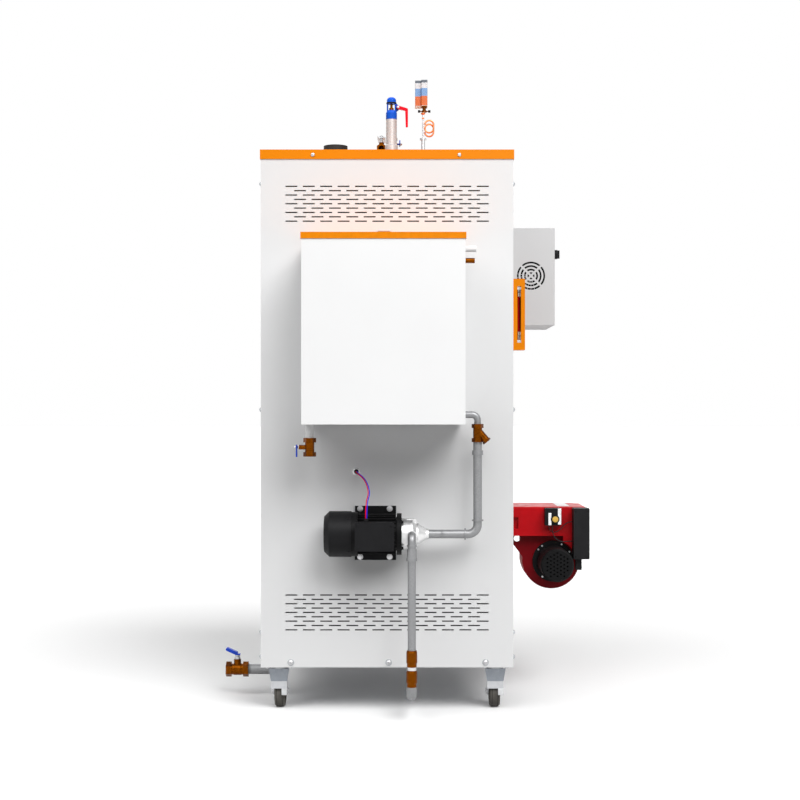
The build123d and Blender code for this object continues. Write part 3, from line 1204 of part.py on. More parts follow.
def blowdown_valve():
    """Brass blow-down ball valve, open at its outlet."""
    body = valve_body((BLOW_VALVE_X, BLOW_Y, BLOW_Z), "-x", BLOW_VALVE_L, BLOW_HEX, BLOW_BALL_R, BLOW_BORE_R)
    middle = BLOW_VALVE_X - BLOW_VALVE_L / 2
    foot = BLOW_Z + BLOW_BORE_R + 2
    body += rod((middle, BLOW_Y, foot), "+z", BLOW_GLAND_TOP - foot, BLOW_GLAND_R)
    return body - rod((middle, BLOW_Y, foot + 2), "+z", BLOW_GLAND_TOP - foot, BLOW_STEM_R + TURN_FIT)


def blowdown_lever():
    """Blue lever of the blow-down valve, cranked up from its stem, in line with the pipe when open."""
    middle = BLOW_VALVE_X - BLOW_VALVE_L / 2
    foot = BLOW_Z + BLOW_BORE_R + 4 + AXIAL_GAP
    stem = rod((middle, BLOW_Y, foot), "+z", BLOW_STEM_TOP - foot, BLOW_STEM_R)
    z = BLOW_STEM_TOP
    end_x, end_z = middle - BLOW_LEVER_RUN, z + BLOW_LEVER_RISE
    strip = lever_plate([(middle + 8, z), (middle - 2, z), (end_x, end_z)], BLOW_LEVER_T, BLOW_LEVER_W)
    strip += lever_plate([(middle - 4, z + 4), (end_x - 3, end_z + 2)], BLOW_GRIP_T, BLOW_GRIP_W)
    return stem + Pos(0, BLOW_Y, 0) * strip


# Casters

def caster_plates():
    """The four mounting plates, each with its swivel race."""
    plates = []
    for x, y in CASTER_PLACES.values():
        half_x, half_y = MOUNT_PLATE_X / 2, MOUNT_PLATE_Y / 2
        plate = block(x - half_x, x + half_x, y - half_y, y + half_y, CASTER_H - MOUNT_PLATE_T, CASTER_H)
        plate += rod((x, y, SWIVEL_TOP), "+z", RACE_H, RACE_R)
        plates.append(plate - rod((x, y, SWIVEL_TOP), "+z", RACE_H, KINGPIN_R + TURN_FIT))
    return plates


def caster_fork():
    """Swivel fork in its own frame: kingpin, crown, two legs, front web, axle and brake tab."""
    gap = WHEEL_W / 2 + FORK_SIDE_GAP
    crown_z = FORK_TOP - CROWN_H
    fork = rod((0, 0, FORK_TOP), "-z", CROWN_H * 0.5, RACE_R)
    side = make_hull([*(Pos(0, FORK_TOP - CROWN_H / 2 - 2) * Rectangle(2 * RACE_R - 6, CROWN_H - 4)).edges(),
                      *(Pos(CASTER_TRAIL, WHEEL_R) * Circle(FORK_BOSS_R)).edges()])
    for x in (-gap - FORK_T, gap):
        fork += Plane(origin=(x, 0, 0), x_dir=(0, 1, 0), z_dir=(1, 0, 0)) * extrude(side, FORK_T)
    fork += block(-gap - FORK_T, gap + FORK_T, -RACE_R + 3, RACE_R - 3, crown_z, FORK_TOP - 4)
    fork += rod((0, 0, FORK_TOP), "+z", RACE_H - AXIAL_GAP, KINGPIN_R)
    fork += rod((-gap - FORK_T - 4, CASTER_TRAIL, WHEEL_R), "+x", 2 * (gap + FORK_T + 4), AXLE_R)
    top, waist = BIB_TOP_W / 2, BIB_WAIST_W / 2
    bib = Polyline((-top, FORK_TOP), (top, FORK_TOP), (waist, BIB_WAIST_Z), (waist, BIB_Z0),
                   (-waist, BIB_Z0), (-waist, BIB_WAIST_Z), close=True)
    bib_y = -RACE_R + 3
    near_plane = Plane(origin=(0, bib_y, 0), x_dir=(1, 0, 0), z_dir=(0, -1, 0))
    fork += near_plane * extrude(make_face(bib), -FORK_T)
    return fork + block(TAB_X, TAB_X + TAB_W, bib_y - 2, bib_y - 2 + TAB_T, TAB_Z0, BIB_Z0 + TAB_T)


def caster_wheel():
    """Wheel in the fork's frame: tread, dished web and hub."""
    half = WHEEL_W / 2
    stations = [(-half, WHEEL_R - 5), (-half + 5, WHEEL_R), (half - 5, WHEEL_R), (half, WHEEL_R - 5)]
    outline = [(AXLE_R + TURN_FIT, -half - 1), (WHEEL_HUB_R, -half - 1), (WHEEL_HUB_R + 2, -half + WHEEL_DISH),
               (WHEEL_R - 12, -half + WHEEL_DISH), (WHEEL_R - 10, -half)]
    outline += [(radius, along) for along, radius in stations]
    outline += [(WHEEL_R - 10, half), (WHEEL_R - 12, half - WHEEL_DISH), (WHEEL_HUB_R + 2, half - WHEEL_DISH),
                (WHEEL_HUB_R, half + 1), (AXLE_R + TURN_FIT, half + 1)]
    wheel = revolve(Plane.XZ * make_face(Polyline(*outline, close=True)), Axis.Z)
    return seat((0, CASTER_TRAIL, WHEEL_R), "+x") * wheel


def all_pieces():
    """Every node's shape by name, in the working frame."""
    burner_side = side_panel()
    pieces = {
        "base_frame": base_frame(),
        "pump_side_panel": pump_side_panel(),
        "rear_panel": rear_panel(),
        "burner_side_panel": burner_side,
        "drain_side_panel": mirror(burner_side, Plane.YZ),
        "top_cover": top_cover(),
        "boiler_vessel": boiler_vessel(),
        "flue_outlet": flue_outlet(),
        "water_tank": water_tank(),
        "tank_lid": tank_lid(),
        "tank_overflow": tank_overflow(),
        "tank_drain_valve": tank_drain_valve(),
        "tank_drain_lever": tank_drain_lever(),
        "pump_motor": pump_motor(),
        "motor_fan_cover": motor_fan_cover(),
        "terminal_box": terminal_box(),
        "pump_head": pump_head(),
        "suction_cone": suction_cone(),
        "suction_pipes": suction_pipes(),
        "y_strainer": y_strainer(),
        "discharge_pipes": discharge_pipes(),
        "check_valves": check_valves(),
        "cable_grommet": cable_grommet(),
        "wire_red": cord(wire_route(-1), WIRE_R),
        "wire_blue": cord(wire_route(1), WIRE_R),
        "safety_valve_body": safety_valve_body(),
        "safety_valve_bonnet": safety_valve_bonnet(),
        "safety_valve_lever": safety_valve_lever(),
        "steam_valves": steam_valves(),
        "steam_valve_lever": steam_valve_lever(),
        "vent_cock_lever": vent_cock_lever(),
        "gauge_standpipe": gauge_standpipe(),
        "siphon_coil": siphon_coil(),
        "gauge_manifold": gauge_manifold(),
        "pressure_controllers": pressure_controllers(),
        "control_box": control_box(),
        "control_knob": control_knob(),
        "level_gauge_guard": level_gauge_guard(),
        "level_gauge_cocks": level_gauge_cocks(),
        "level_gauge_glass": level_gauge_glass(),
        "burner_housing": burner_housing(),
        "burner_volute": burner_volute(),
        "burner_motor": burner_motor(),
        "burner_relay_box": burner_relay_box(),
        "burner_ignition_block": burner_ignition_block(),
        "burner_lead_upper": cord(upper_lead_route(), LEAD_R),
        "burner_lead_lower": cord(lower_lead_route(), LEAD_R),
        "blowdown_pipe": blowdown_pipe(),
        "blowdown_valve": blowdown_valve(),
        "blowdown_lever": blowdown_lever(),
        "caster_plates": caster_plates(),
    }
    fork, wheel = caster_fork(), caster_wheel()
    for name, (x, y) in CASTER_PLACES.items():
        pieces["caster_fork_" + name] = Pos(x, y, 0) * fork
        pieces["caster_wheel_" + name] = Pos(x, y, 0) * wheel
    return pieces


PIECES = {name: shape if isinstance(shape, list) else [shape] for name, shape in all_pieces().items()}
SOLIDS = [solid for shapes in PIECES.values() for shape in shapes for solid in shape.solids()]
WHOLE = Compound(SOLIDS).bounding_box()
SHIFT = (-(WHOLE.min.X + WHOLE.max.X) / 2, -(WHOLE.min.Y + WHOLE.max.Y) / 2, -WHOLE.min.Z)

os.makedirs("parts", exist_ok=True)
for name, shapes in PIECES.items():
    solids = [Pos(*SHIFT) * solid for shape in shapes for solid in shape.solids()]
    export_step(solids[0] if len(solids) == 1 else Compound(solids), f"parts/{name}.step")
print("shift", [round(value, 3) for value in SHIFT], "nodes", len(PIECES))
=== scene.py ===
from math import cos, pi, radians, sin, sqrt

import bmesh
import bpy
from mathutils import Matrix, Vector


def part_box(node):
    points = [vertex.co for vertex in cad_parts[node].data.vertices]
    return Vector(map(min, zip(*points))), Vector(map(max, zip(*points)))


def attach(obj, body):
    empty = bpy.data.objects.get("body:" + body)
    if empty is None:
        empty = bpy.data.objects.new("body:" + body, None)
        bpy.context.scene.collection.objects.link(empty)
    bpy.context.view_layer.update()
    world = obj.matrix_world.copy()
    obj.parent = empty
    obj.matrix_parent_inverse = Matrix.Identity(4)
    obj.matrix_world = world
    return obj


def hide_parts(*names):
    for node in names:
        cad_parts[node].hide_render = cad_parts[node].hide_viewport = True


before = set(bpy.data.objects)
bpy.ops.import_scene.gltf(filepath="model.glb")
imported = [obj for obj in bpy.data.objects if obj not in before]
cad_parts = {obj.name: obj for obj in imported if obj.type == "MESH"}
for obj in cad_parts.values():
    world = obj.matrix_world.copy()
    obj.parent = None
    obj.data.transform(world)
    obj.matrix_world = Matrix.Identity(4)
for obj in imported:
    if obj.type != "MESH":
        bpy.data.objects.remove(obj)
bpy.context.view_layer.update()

# Shapes are given in millimetres. Places on the machine are in metres, as the frame and spot()
# give them.
MM = 0.001


def low(node):
    """Lowest corner of a CAD node."""
    return Vector(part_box(node)[0])


def high(node):
    """Highest corner of a CAD node."""
    return Vector(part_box(node)[1])


def middle(node):
    """Centre of a CAD node's box."""
    return (low(node) + high(node)) / 2


CABINET = middle("base_frame")
NEAR_FACE = low("pump_side_panel").y
FAR_FACE = high("rear_panel").y
LEFT_FACE = low("drain_side_panel").x
RIGHT_FACE = high("burner_side_panel").x

# Camera: it looks straight at the pump side, level, from a little right of the cabinet's middle
CAMERA_RIGHT = 0.041
CAMERA_HEIGHT = 0.975
CAMERA_DISTANCE = 4.6
CAMERA_LENS = 65.35
CAMERA_SENSOR = 36.0
HORIZON_SHIFT = 0.00625

# Studio: the key sun comes from the right, the fill from the left, both from in front and above,
# and a weak sun lights the back. The world is white to the camera, less so in reflections, and
# dim as a light.
KEY_SUN = {"turn": 36.0, "height": 46.0, "strength": 1.95, "angle": 38.0}
FILL_SUN = {"turn": -40.0, "height": 46.0, "strength": 1.4, "angle": 50.0}
BACK_SUN = {"turn": 186.0, "height": 34.0, "strength": 0.8, "angle": 60.0}
TOP_LAMP = {"place": (0.9, -3.4, 3.3), "aim": (0.0, 0.0, 1.3), "size": 1.8, "power": 45.0}
WORLD_LEVEL = 0.1
GLOSSY_LEVEL = 0.7

# Floor: paler to the camera than to the light that it throws back at the machine. It glows a
# little, and more so further from the machine, so that it runs into the white world.
FLOOR_R = 60.0
FLOOR_SEEN = 0.97
FLOOR_THROWN = 0.3
FLOOR_ROUGHNESS = 0.9
FLOOR_GLOW = 0.035
FLOOR_FAR_GLOW = 0.25
FLOOR_NEAR = 1.3
FLOOR_FAR = 4.5

# Way names for placing round pieces
WAYS = {"+x": Vector((1, 0, 0)), "-x": Vector((-1, 0, 0)), "+y": Vector((0, 1, 0)),
        "-y": Vector((0, -1, 0)), "+z": Vector((0, 0, 1)), "-z": Vector((0, 0, -1))}

# Sockets of a Mix node that mixes colours
MIX_FACTOR, MIX_A, MIX_B, MIX_RESULT = 0, 6, 7, 2


# Materials

class Shader:
    """A node material in the making, with its textures fixed to the piece."""

    def __init__(self, name, colour, roughness, metallic=0.0):
        self.material = bpy.data.materials.new(name)
        self.material.use_nodes = True
        self.tree = self.material.node_tree
        self.surface = self.tree.nodes["Principled BSDF"]
        self.surface.inputs["Base Color"].default_value = (*colour, 1)
        self.surface.inputs["Roughness"].default_value = roughness
        self.surface.inputs["Metallic"].default_value = metallic
        self.material.diffuse_color = (*colour, 1)
        self.coords = self.tree.nodes.new("ShaderNodeTexCoord").outputs["Object"]

    def add(self, kind, **inputs):
        """A node with its inputs set, or linked where the value is another node's output."""
        node = self.tree.nodes.new(kind)
        for key, value in inputs.items():
            socket = node.inputs[key.replace("_", " ")]
            if isinstance(value, bpy.types.NodeSocket):
                self.tree.links.new(value, socket)
            else:
                socket.default_value = value
        return node

    def noise(self, scale, detail=3.0, roughness=0.55, stretch=None):
        """Fractal noise from 0 to 1, stretched along an axis where asked."""
        vector = self.coords
        if stretch:
            mapping = self.add("ShaderNodeMapping", Vector=self.coords, Scale=stretch)
            vector = mapping.outputs["Vector"]
        return self.add("ShaderNodeTexNoise", Vector=vector, Scale=scale, Detail=detail,
                        Roughness=roughness).outputs["Fac"]

    def cells(self, scale):
        """Voronoi cells, each with a colour of its own."""
        return self.add("ShaderNodeTexVoronoi", Vector=self.coords, Scale=scale).outputs["Color"]

    def spread(self, factor, at_low, at_high, from_low=0.3, from_high=0.7):
        """A number that runs from one value to another as the factor rises."""
        node = self.add("ShaderNodeMapRange", Value=factor)
        node.inputs["From Min"].default_value = from_low
        node.inputs["From Max"].default_value = from_high
        node.inputs["To Min"].default_value = at_low
        node.inputs["To Max"].default_value = at_high
        return node.outputs["Result"]

    def ramp(self, factor, stops, steps=False):
        """A colour ramp: its stops are pairs of place and colour."""
        node = self.add("ShaderNodeValToRGB", Fac=factor)
        ramp = node.color_ramp
        ramp.interpolation = "CONSTANT" if steps else "LINEAR"
        while len(ramp.elements) < len(stops):
            ramp.elements.new(1.0)
        for element, (place, colour) in zip(ramp.elements, stops):
            element.position = place
            element.color = (*colour, 1)
        return node.outputs["Color"]

    def bump(self, height, distance, strength=1.0):
        """Relief from a height, in metres. Later relief lies over earlier relief."""
        node = self.add("ShaderNodeBump", Height=height, Distance=distance, Strength=strength)
        normal = self.surface.inputs["Normal"]
        if normal.links:
            self.tree.links.new(normal.links[0].from_socket, node.inputs["Normal"])
        self.tree.links.new(node.outputs["Normal"], normal)

    def drive(self, socket, value):
        """Link an output to one of the surface's sockets."""
        self.tree.links.new(value, self.surface.inputs[socket])

    def shine(self, gloss):
        """Set how strongly the surface reflects."""
        self.surface.inputs["Specular IOR Level"].default_value = gloss

    def along(self, axis, start, end):
        """Place along an axis, from 0 at start to 1 at end."""
        parts = self.add("ShaderNodeSeparateXYZ", Vector=self.coords)
        return self.spread(parts.outputs[axis], 0.0, 1.0, start, end)


def tinted(colour, factor):
    """A colour made darker or lighter."""
    return tuple(min(1.0, channel * factor) for channel in colour)


def powder_coat(name, colour, roughness=0.42, variation=0.03, gloss=0.3):
    """Sprayed powder coat on sheet: faint clouding, and the dimples called orange peel."""
    shader = Shader(name, colour, roughness)
    clouds = shader.noise(2.2, 5)
    stops = [(0.3, tinted(colour, 1 - variation)), (0.7, tinted(colour, 1 + variation / 3))]
    shader.drive("Base Color", shader.ramp(clouds, stops))
    patches = shader.noise(9.0, 4)
    shader.drive("Roughness", shader.spread(patches, roughness - 0.07, roughness + 0.07))
    shader.shine(gloss)
    shader.bump(shader.noise(420.0, 2), 0.00006, 0.35)
    shader.bump(shader.noise(1.6, 2), 0.0012, 0.25)
    return shader.material


def gloss_paint(name, colour, roughness=0.28, grain=160.0, relief=0.0002, gloss=0.3):
    """Enamel over a casting or pressing: gloss that breaks up over a slightly uneven skin."""
    shader = Shader(name, colour, roughness)
    clouds = shader.noise(14.0, 5)
    stops = [(0.3, tinted(colour, 0.8)), (0.7, tinted(colour, 1.1))]
    shader.drive("Base Color", shader.ramp(clouds, stops))
    patches = shader.noise(38.0, 5)
    shader.drive("Roughness", shader.spread(patches, roughness - 0.08, roughness + 0.14))
    shader.shine(gloss)
    shader.bump(shader.noise(grain, 4), relief, 0.5)
    return shader.material


def metal(name, colour, roughness, grain, relief, shade=0.25):
    """Bare metal with a fine grain: its tone and gloss change over the surface."""
    shader = Shader(name, colour, roughness, 1.0)
    clouds = shader.noise(45.0, 6, 0.6)
    stops = [(0.25, tinted(colour, 1 - shade)), (0.75, tinted(colour, 1 + shade / 2))]
    shader.drive("Base Color", shader.ramp(clouds, stops))
    patches = shader.noise(70.0, 5, 0.6)
    shader.drive("Roughness", shader.spread(patches, roughness - 0.08, roughness + 0.12))
    shader.bump(shader.noise(grain, 4, 0.6), relief, 0.5)
    return shader.material


def satin(name, colour, roughness):
    """Plated metal with a soft, even sheen and faint turning lines round it."""
    shader = Shader(name, colour, roughness, 0.45)
    clouds = shader.noise(30.0, 5)
    stops = [(0.3, tinted(colour, 0.92)), (0.7, tinted(colour, 1.04))]
    shader.drive("Base Color", shader.ramp(clouds, stops))
    patches = shader.noise(90.0, 4)
    shader.drive("Roughness", shader.spread(patches, roughness - 0.05, roughness + 0.08))
    shader.bump(shader.noise(60.0, 2, stretch=(1, 1, 30)), 0.00003, 0.4)
    return shader.material


def galvanised(name, colour, spangle_size=160.0, contrast=0.16):
    """Hot-dip zinc: spangles of slightly different tone and gloss."""
    shader = Shader(name, colour, 0.4, 0.6)
    tone = shader.add("ShaderNodeRGBToBW", Color=shader.cells(spangle_size)).outputs["Val"]
    stops = [(0.1, tinted(colour, 1 - contrast)), (0.9, tinted(colour, 1 + contrast))]
    shader.drive("Base Color", shader.ramp(tone, stops))
    shader.drive("Roughness", shader.spread(tone, 0.34, 0.48, 0.1, 0.9))
    shader.bump(shader.noise(240.0, 5), 0.00012, 0.3)
    return shader.material


def moulded(name, colour, roughness, grain=700.0, relief=0.00005, gloss=0.3):
    """Moulded plastic or rubber with a fine spark-eroded grain."""
    shader = Shader(name, colour, roughness)
    clouds = shader.noise(20.0, 4)
    stops = [(0.3, tinted(colour, 0.82)), (0.7, tinted(colour, 1.15))]
    shader.drive("Base Color", shader.ramp(clouds, stops))
    patches = shader.noise(55.0, 4)
    shader.drive("Roughness", shader.spread(patches, roughness - 0.06, roughness + 0.1))
    shader.shine(gloss)
    shader.bump(shader.noise(grain, 2), relief, 0.5)
    return shader.material


def zoned(name, axis, start, end, zones, roughness, metallic=0.0, relief=0.00005, gloss=0.5):
    """One part with bands of colour along an axis. Zones are pairs of place and colour."""
    shader = Shader(name, zones[0][1], roughness, metallic)
    place = shader.along(axis, start, end)
    stops = [((at - start) / (end - start), colour) for at, colour in zones]
    bands = shader.ramp(place, stops, steps=True)
    dull = shader.ramp(shader.noise(60.0, 4), [(0.3, (0.88, 0.88, 0.88)), (0.7, (1, 1, 1))])
    node = shader.add("ShaderNodeMix")
    node.data_type = "RGBA"
    node.blend_type = "MULTIPLY"
    node.inputs[MIX_FACTOR].default_value = 1.0
    shader.tree.links.new(bands, node.inputs[MIX_A])
    shader.tree.links.new(dull, node.inputs[MIX_B])
    shader.drive("Base Color", node.outputs[MIX_RESULT])
    patches = shader.noise(90.0, 4)
    shader.drive("Roughness", shader.spread(patches, roughness - 0.05, roughness + 0.1))
    shader.shine(gloss)
    shader.bump(shader.noise(600.0, 3), relief, 0.4)
    return shader.material


# The panels' white and the tank's white are one powder coat in lit and shaded copies: the panels'
# lower value is painted shade, the tank's higher value is painted light.
PANEL_WHITE_PAINTED_SHADE = (0.83, 0.833, 0.836)
TANK_WHITE_PAINTED_LIGHT = (0.92, 0.921, 0.922)
BOX_WHITE = (0.69, 0.69, 0.695)
ORANGE = (0.91, 0.265, 0.002)
BRASS_COLOUR = (0.18, 0.047, 0.002)
COPPER_COLOUR = (0.86, 0.3, 0.12)
STEEL_COLOUR = (0.72, 0.72, 0.73)
BLACK = (0.008, 0.008, 0.0085)
BLUE_GRIP = (0.015, 0.07, 0.62)
BURNER_RED = (0.56, 0.003, 0.008)

LOOKS = {
    # Panel and tank coats: painted shade on the panels, painted light on the tank, both standing
    # for one white.
    "white": powder_coat("white_powder_coat_painted_shade", PANEL_WHITE_PAINTED_SHADE),
    "tank_white": powder_coat("tank_powder_coat_painted_light", TANK_WHITE_PAINTED_LIGHT, 0.4, 0.02),
    "box_white": powder_coat("box_powder_coat", BOX_WHITE, 0.45),
    "orange": powder_coat("orange_powder_coat", ORANGE, 0.36, 0.06, 0.1),
    "frame": galvanised("galvanised_frame", (0.5, 0.51, 0.53)),
    "pipe": galvanised("galvanised_pipe", (0.3, 0.303, 0.31), 260.0, 0.07),
    "jacket": metal("jacket_sheet", (0.09, 0.092, 0.095), 0.5, 300.0, 0.0001),
    "flue": moulded("flue_black", (0.02, 0.02, 0.02), 0.55, 500.0, 0.0001),
    "brass": metal("forged_brass", BRASS_COLOUR, 0.26, 420.0, 0.00016, 0.5),
    "copper": metal("copper_tube", COPPER_COLOUR, 0.24, 500.0, 0.00006, 0.2),
    "nickel": satin("nickel_plate", (0.62, 0.6, 0.595), 0.42),
    "silver": metal("cast_silver", (0.8, 0.8, 0.8), 0.36, 330.0, 0.00025, 0.15),
    "bright": metal("bright_steel", (0.84, 0.84, 0.85), 0.22, 900.0, 0.00004, 0.12),
    "lever_steel": metal("lever_steel", (0.5, 0.52, 0.54), 0.34, 500.0, 0.0001, 0.2),
    "motor": gloss_paint("motor_black", BLACK, 0.42, 260.0, 0.0002, 0.09),
    "plastic": moulded("black_plastic", (0.01, 0.01, 0.011), 0.45, gloss=0.12),
    "box_black": moulded("relay_box_black", (0.014, 0.014, 0.015), 0.42, 900.0, gloss=0.12),
    "red_paint": gloss_paint("burner_red", BURNER_RED, 0.34, 120.0, 0.00025, 0.14),
    "bonnet": gloss_paint("bonnet_blue", (0.008, 0.12, 0.8), 0.34, 200.0, 0.0001, 0.15),
    "lever_red": moulded("lever_red", (0.84, 0.002, 0.02), 0.4, gloss=0.12),
    "blue": moulded("grip_blue", BLUE_GRIP, 0.38, 300.0, 0.0001),
    "wire_red": moulded("wire_red_skin", (0.85, 0.002, 0.04), 0.4, gloss=0.06),
    "wire_blue": moulded("wire_blue_skin", (0.035, 0.025, 0.8), 0.4, gloss=0.06),
    "lead": moulded("lead_black_skin", (0.012, 0.012, 0.013), 0.5, 240.0, 0.0002),
    "tyre": moulded("tyre_grey", (0.125, 0.118, 0.105), 0.6, 420.0, 0.0002, 0.2),
    "pad_white": moulded("pedal_white", (0.78, 0.79, 0.8), 0.45, 300.0, 0.0001),
    "glass": gloss_paint("gauge_red", (0.7, 0.004, 0.008), 0.12, 60.0, 0.00002, 0.2),
    "yellow": gloss_paint("button_yellow", (0.86, 0.53, 0.1), 0.3),
    "screw": metal("zinc_screw", (0.56, 0.56, 0.57), 0.34, 700.0, 0.00005, 0.2),
    "dark": moulded("dark_recess", (0.006, 0.006, 0.007), 0.6, gloss=0.05),
}

CAD_LOOKS = {
    "white": ["pump_side_panel", "rear_panel", "burner_side_panel", "drain_side_panel"],
    "tank_white": ["water_tank"],
    "box_white": ["control_box"],
    "orange": ["top_cover", "level_gauge_guard"],
    "frame": ["base_frame", "caster_plates"],
    "pipe": ["suction_pipes", "discharge_pipes", "blowdown_pipe"],
    "jacket": ["boiler_vessel"],
    "flue": ["flue_outlet"],
    "brass": ["tank_overflow", "tank_drain_valve", "y_strainer", "steam_valves",
              "blowdown_valve"],
    "copper": ["siphon_coil"],
    "silver": ["pump_head", "suction_cone"],
    "bright": ["level_gauge_cocks"],
    "screw": ["cable_grommet"],
    "nickel": ["safety_valve_body"],
    "lever_steel": ["steam_valve_lever"],
    "motor": ["pump_motor", "burner_motor"],
    "plastic": ["motor_fan_cover", "terminal_box", "control_knob", "burner_ignition_block"],
    "box_black": ["burner_relay_box"],
    "red_paint": ["burner_housing"],
    "bonnet": ["safety_valve_bonnet"],
    "lever_red": ["safety_valve_lever"],
    "blue": ["tank_drain_lever", "vent_cock_lever", "blowdown_lever"],
    "wire_red": ["wire_red"],
    "wire_blue": ["wire_blue"],
    "lead": ["burner_lead_upper", "burner_lead_lower"],
    "glass": ["level_gauge_glass"],
}


def dress_cad(node, material):
    """Give a CAD node its finish."""
    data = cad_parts[node].data
    data.materials.clear()
    data.materials.append(material)


for look, nodes in CAD_LOOKS.items():
    for node in nodes:
        dress_cad(node, LOOKS[look])
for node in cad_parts:
    if node.startswith("caster_wheel"):
        dress_cad(node, LOOKS["tyre"])


# CAD pieces with bands of colour. Where a band ends is given in metres from the piece's low or
# high side.

CASE_PALE = (0.8, 0.84, 0.88)
CASE_ORANGE = (0.72, 0.14, 0.008)
CASE_BLUE = (0.2, 0.4, 0.75)
CASE_LID = (0.12, 0.15, 0.19)
CASE_RISES = (0.001, 0.034, 0.0615)
CASE_LID_T = 0.009
FORK_LIP = (0.62, 0.63, 0.65)
FORK_GREY = (0.3, 0.325, 0.36)
FORK_WAIST = 0.091
FORK_TOP = 0.14
UNION_PALE = (0.72, 0.73, 0.74)
UNION_HALF = 0.005
HANDLE_STEEL = (0.72, 0.71, 0.74)
# Painted shade: the fan casing's face is painted a deeper red where the burner housing shades it.
LID_DEEP = 0.0192
VOLUTE_PAINTED_SHADE = (0.2, 0.002, 0.006)
VOLUTE_PAINTED_SHADE_DEPTH = 0.004
MANIFOLD_KNOB_L = 0.0085
BAND_FOOT_DROP = 0.024
BAND_TOP_DROP = 0.018


def dress_controllers():
    """Clear-fronted controllers: orange scale below, blue above, pale top and a grey lid."""
    base, top = low("pressure_controllers").z, high("pressure_controllers").z
    orange, blue, pale = (base + rise for rise in CASE_RISES)
    zones = [(base, CASE_PALE), (orange, CASE_ORANGE), (blue, CASE_BLUE), (pale, CASE_PALE),
             (top - CASE_LID_T, CASE_LID)]
    material = zoned("controller_case", "Z", base, top, zones, 0.3, 0.0, 0.00001)
    dress_cad("pressure_controllers", material)


def dress_forks():
    """Caster forks: blue-grey pressing above, bright lip below it."""
    zones = [(0.0, FORK_LIP), (FORK_WAIST, FORK_GREY)]
    material = zoned("fork_steel", "Z", 0.0, FORK_TOP, zones, 0.36, 0.75)
    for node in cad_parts:
        if node.startswith("caster_fork"):
            dress_cad(node, material)


def dress_check_valves():
    """Brass valves with the pale union ring between them."""
    base, top = low("check_valves").z, high("check_valves").z
    ring = (base + top) / 2
    zones = [(base, BRASS_COLOUR), (ring - UNION_HALF, UNION_PALE),
             (ring + UNION_HALF, BRASS_COLOUR)]
    material = zoned("check_valve_brass", "Z", base, top, zones, 0.3, 1.0, 0.00016)
    dress_cad("check_valves", material)


def dress_manifold():
    """Brass cross with its black knobs out at both sides."""
    left, right = low("gauge_manifold").x, high("gauge_manifold").x
    zones = [(left, BLACK), (left + MANIFOLD_KNOB_L, BRASS_COLOUR),
             (right - MANIFOLD_KNOB_L, BLACK)]
    material = zoned("manifold_brass", "X", left, right, zones, 0.3, 0.9, 0.00016)
    dress_cad("gauge_manifold", material)


def dress_lid():
    """Orange lid with a bare steel handle on it."""
    base, top = low("tank_lid").z, high("tank_lid").z
    zones = [(base, ORANGE), (base + LID_DEEP, HANDLE_STEEL)]
    dress_cad("tank_lid", zoned("lid_coat", "Z", base, top, zones, 0.36, 0.0, 0.00005, 0.1))


def dress_volute():
    """Red fan casing: its pressed face is painted a deeper red, as painted shade from the burner
    housing above it; its rim is the casing's own red.
    """
    face, back = low("burner_volute").y, high("burner_volute").y
    zones = [(face, VOLUTE_PAINTED_SHADE), (face + VOLUTE_PAINTED_SHADE_DEPTH, BURNER_RED)]
    material = zoned("volute_red_painted_shade", "Y", face, back, zones, 0.36, 0.0, 0.0001, 0.1)
    dress_cad("burner_volute", material)


def dress_standpipe():
    """Steel standpipe with a copper band near its top."""
    base, top = low("gauge_standpipe").z, high("gauge_standpipe").z
    zones = [(base, STEEL_COLOUR), (top - BAND_FOOT_DROP, COPPER_COLOUR),
             (top - BAND_TOP_DROP, STEEL_COLOUR)]
    dress_cad("gauge_standpipe", zoned("standpipe_steel", "Z", base, top, zones, 0.26, 1.0))


dress_controllers()
dress_forks()
dress_check_valves()
dress_manifold()
dress_lid()
dress_volute()
dress_standpipe()


# Mesh helpers. A shape is its vertices and faces, standing on the origin and pointing up.

SHARP_ANGLE = 32
QUARTERS = (45, 135, 225, 315)


def lathe(profile, segments=32):
    """A turned shape. The profile is pairs of radius and height."""
    verts, rings = [], []
    for radius, height in profile:
        if radius == 0:
            rings.append([len(verts)])
            verts.append(Vector((0, 0, height * MM)))
        else:
            rings.append(list(range(len(verts), len(verts) + segments)))
            turns = (2 * pi * i / segments for i in range(segments))
            verts += [Vector((radius * MM * cos(t), radius * MM * sin(t), height * MM))
                      for t in turns]
    faces = []
    for below, above in zip(rings, rings[1:]):
        for i in range(segments):
            j = (i + 1) % segments
            if len(below) == 1:
                faces.append((below[0], above[j], above[i]))
            elif len(above) == 1:
                faces.append((below[i], below[j], above[0]))
            else:
                faces.append((below[i], below[j], above[j], above[i]))
    return verts, faces


def slab(size_x, size_y, z0, z1):
    """A flat block about the Z axis."""
    x, y = size_x / 2 * MM, size_y / 2 * MM
    corners = [(-x, -y), (x, -y), (x, y), (-x, y)]
    count = len(corners)
    verts = [Vector((a, b, z * MM)) for z in (z0, z1) for a, b in corners]
    faces = [tuple(reversed(range(count))), tuple(range(count, 2 * count))]
    faces += [(i, (i + 1) % count, count + (i + 1) % count, count + i) for i in range(count)]
    return verts, faces


def tube(outer, inner, z0, z1, edge=0.0):
    """A turned ring with a bore and, where asked, chamfered outer edges."""
    return lathe([(inner, z0), (outer - edge, z0), (outer, z0 + edge), (outer, z1 - edge),
                  (outer - edge, z1), (inner, z1), (inner, z0)], 40)


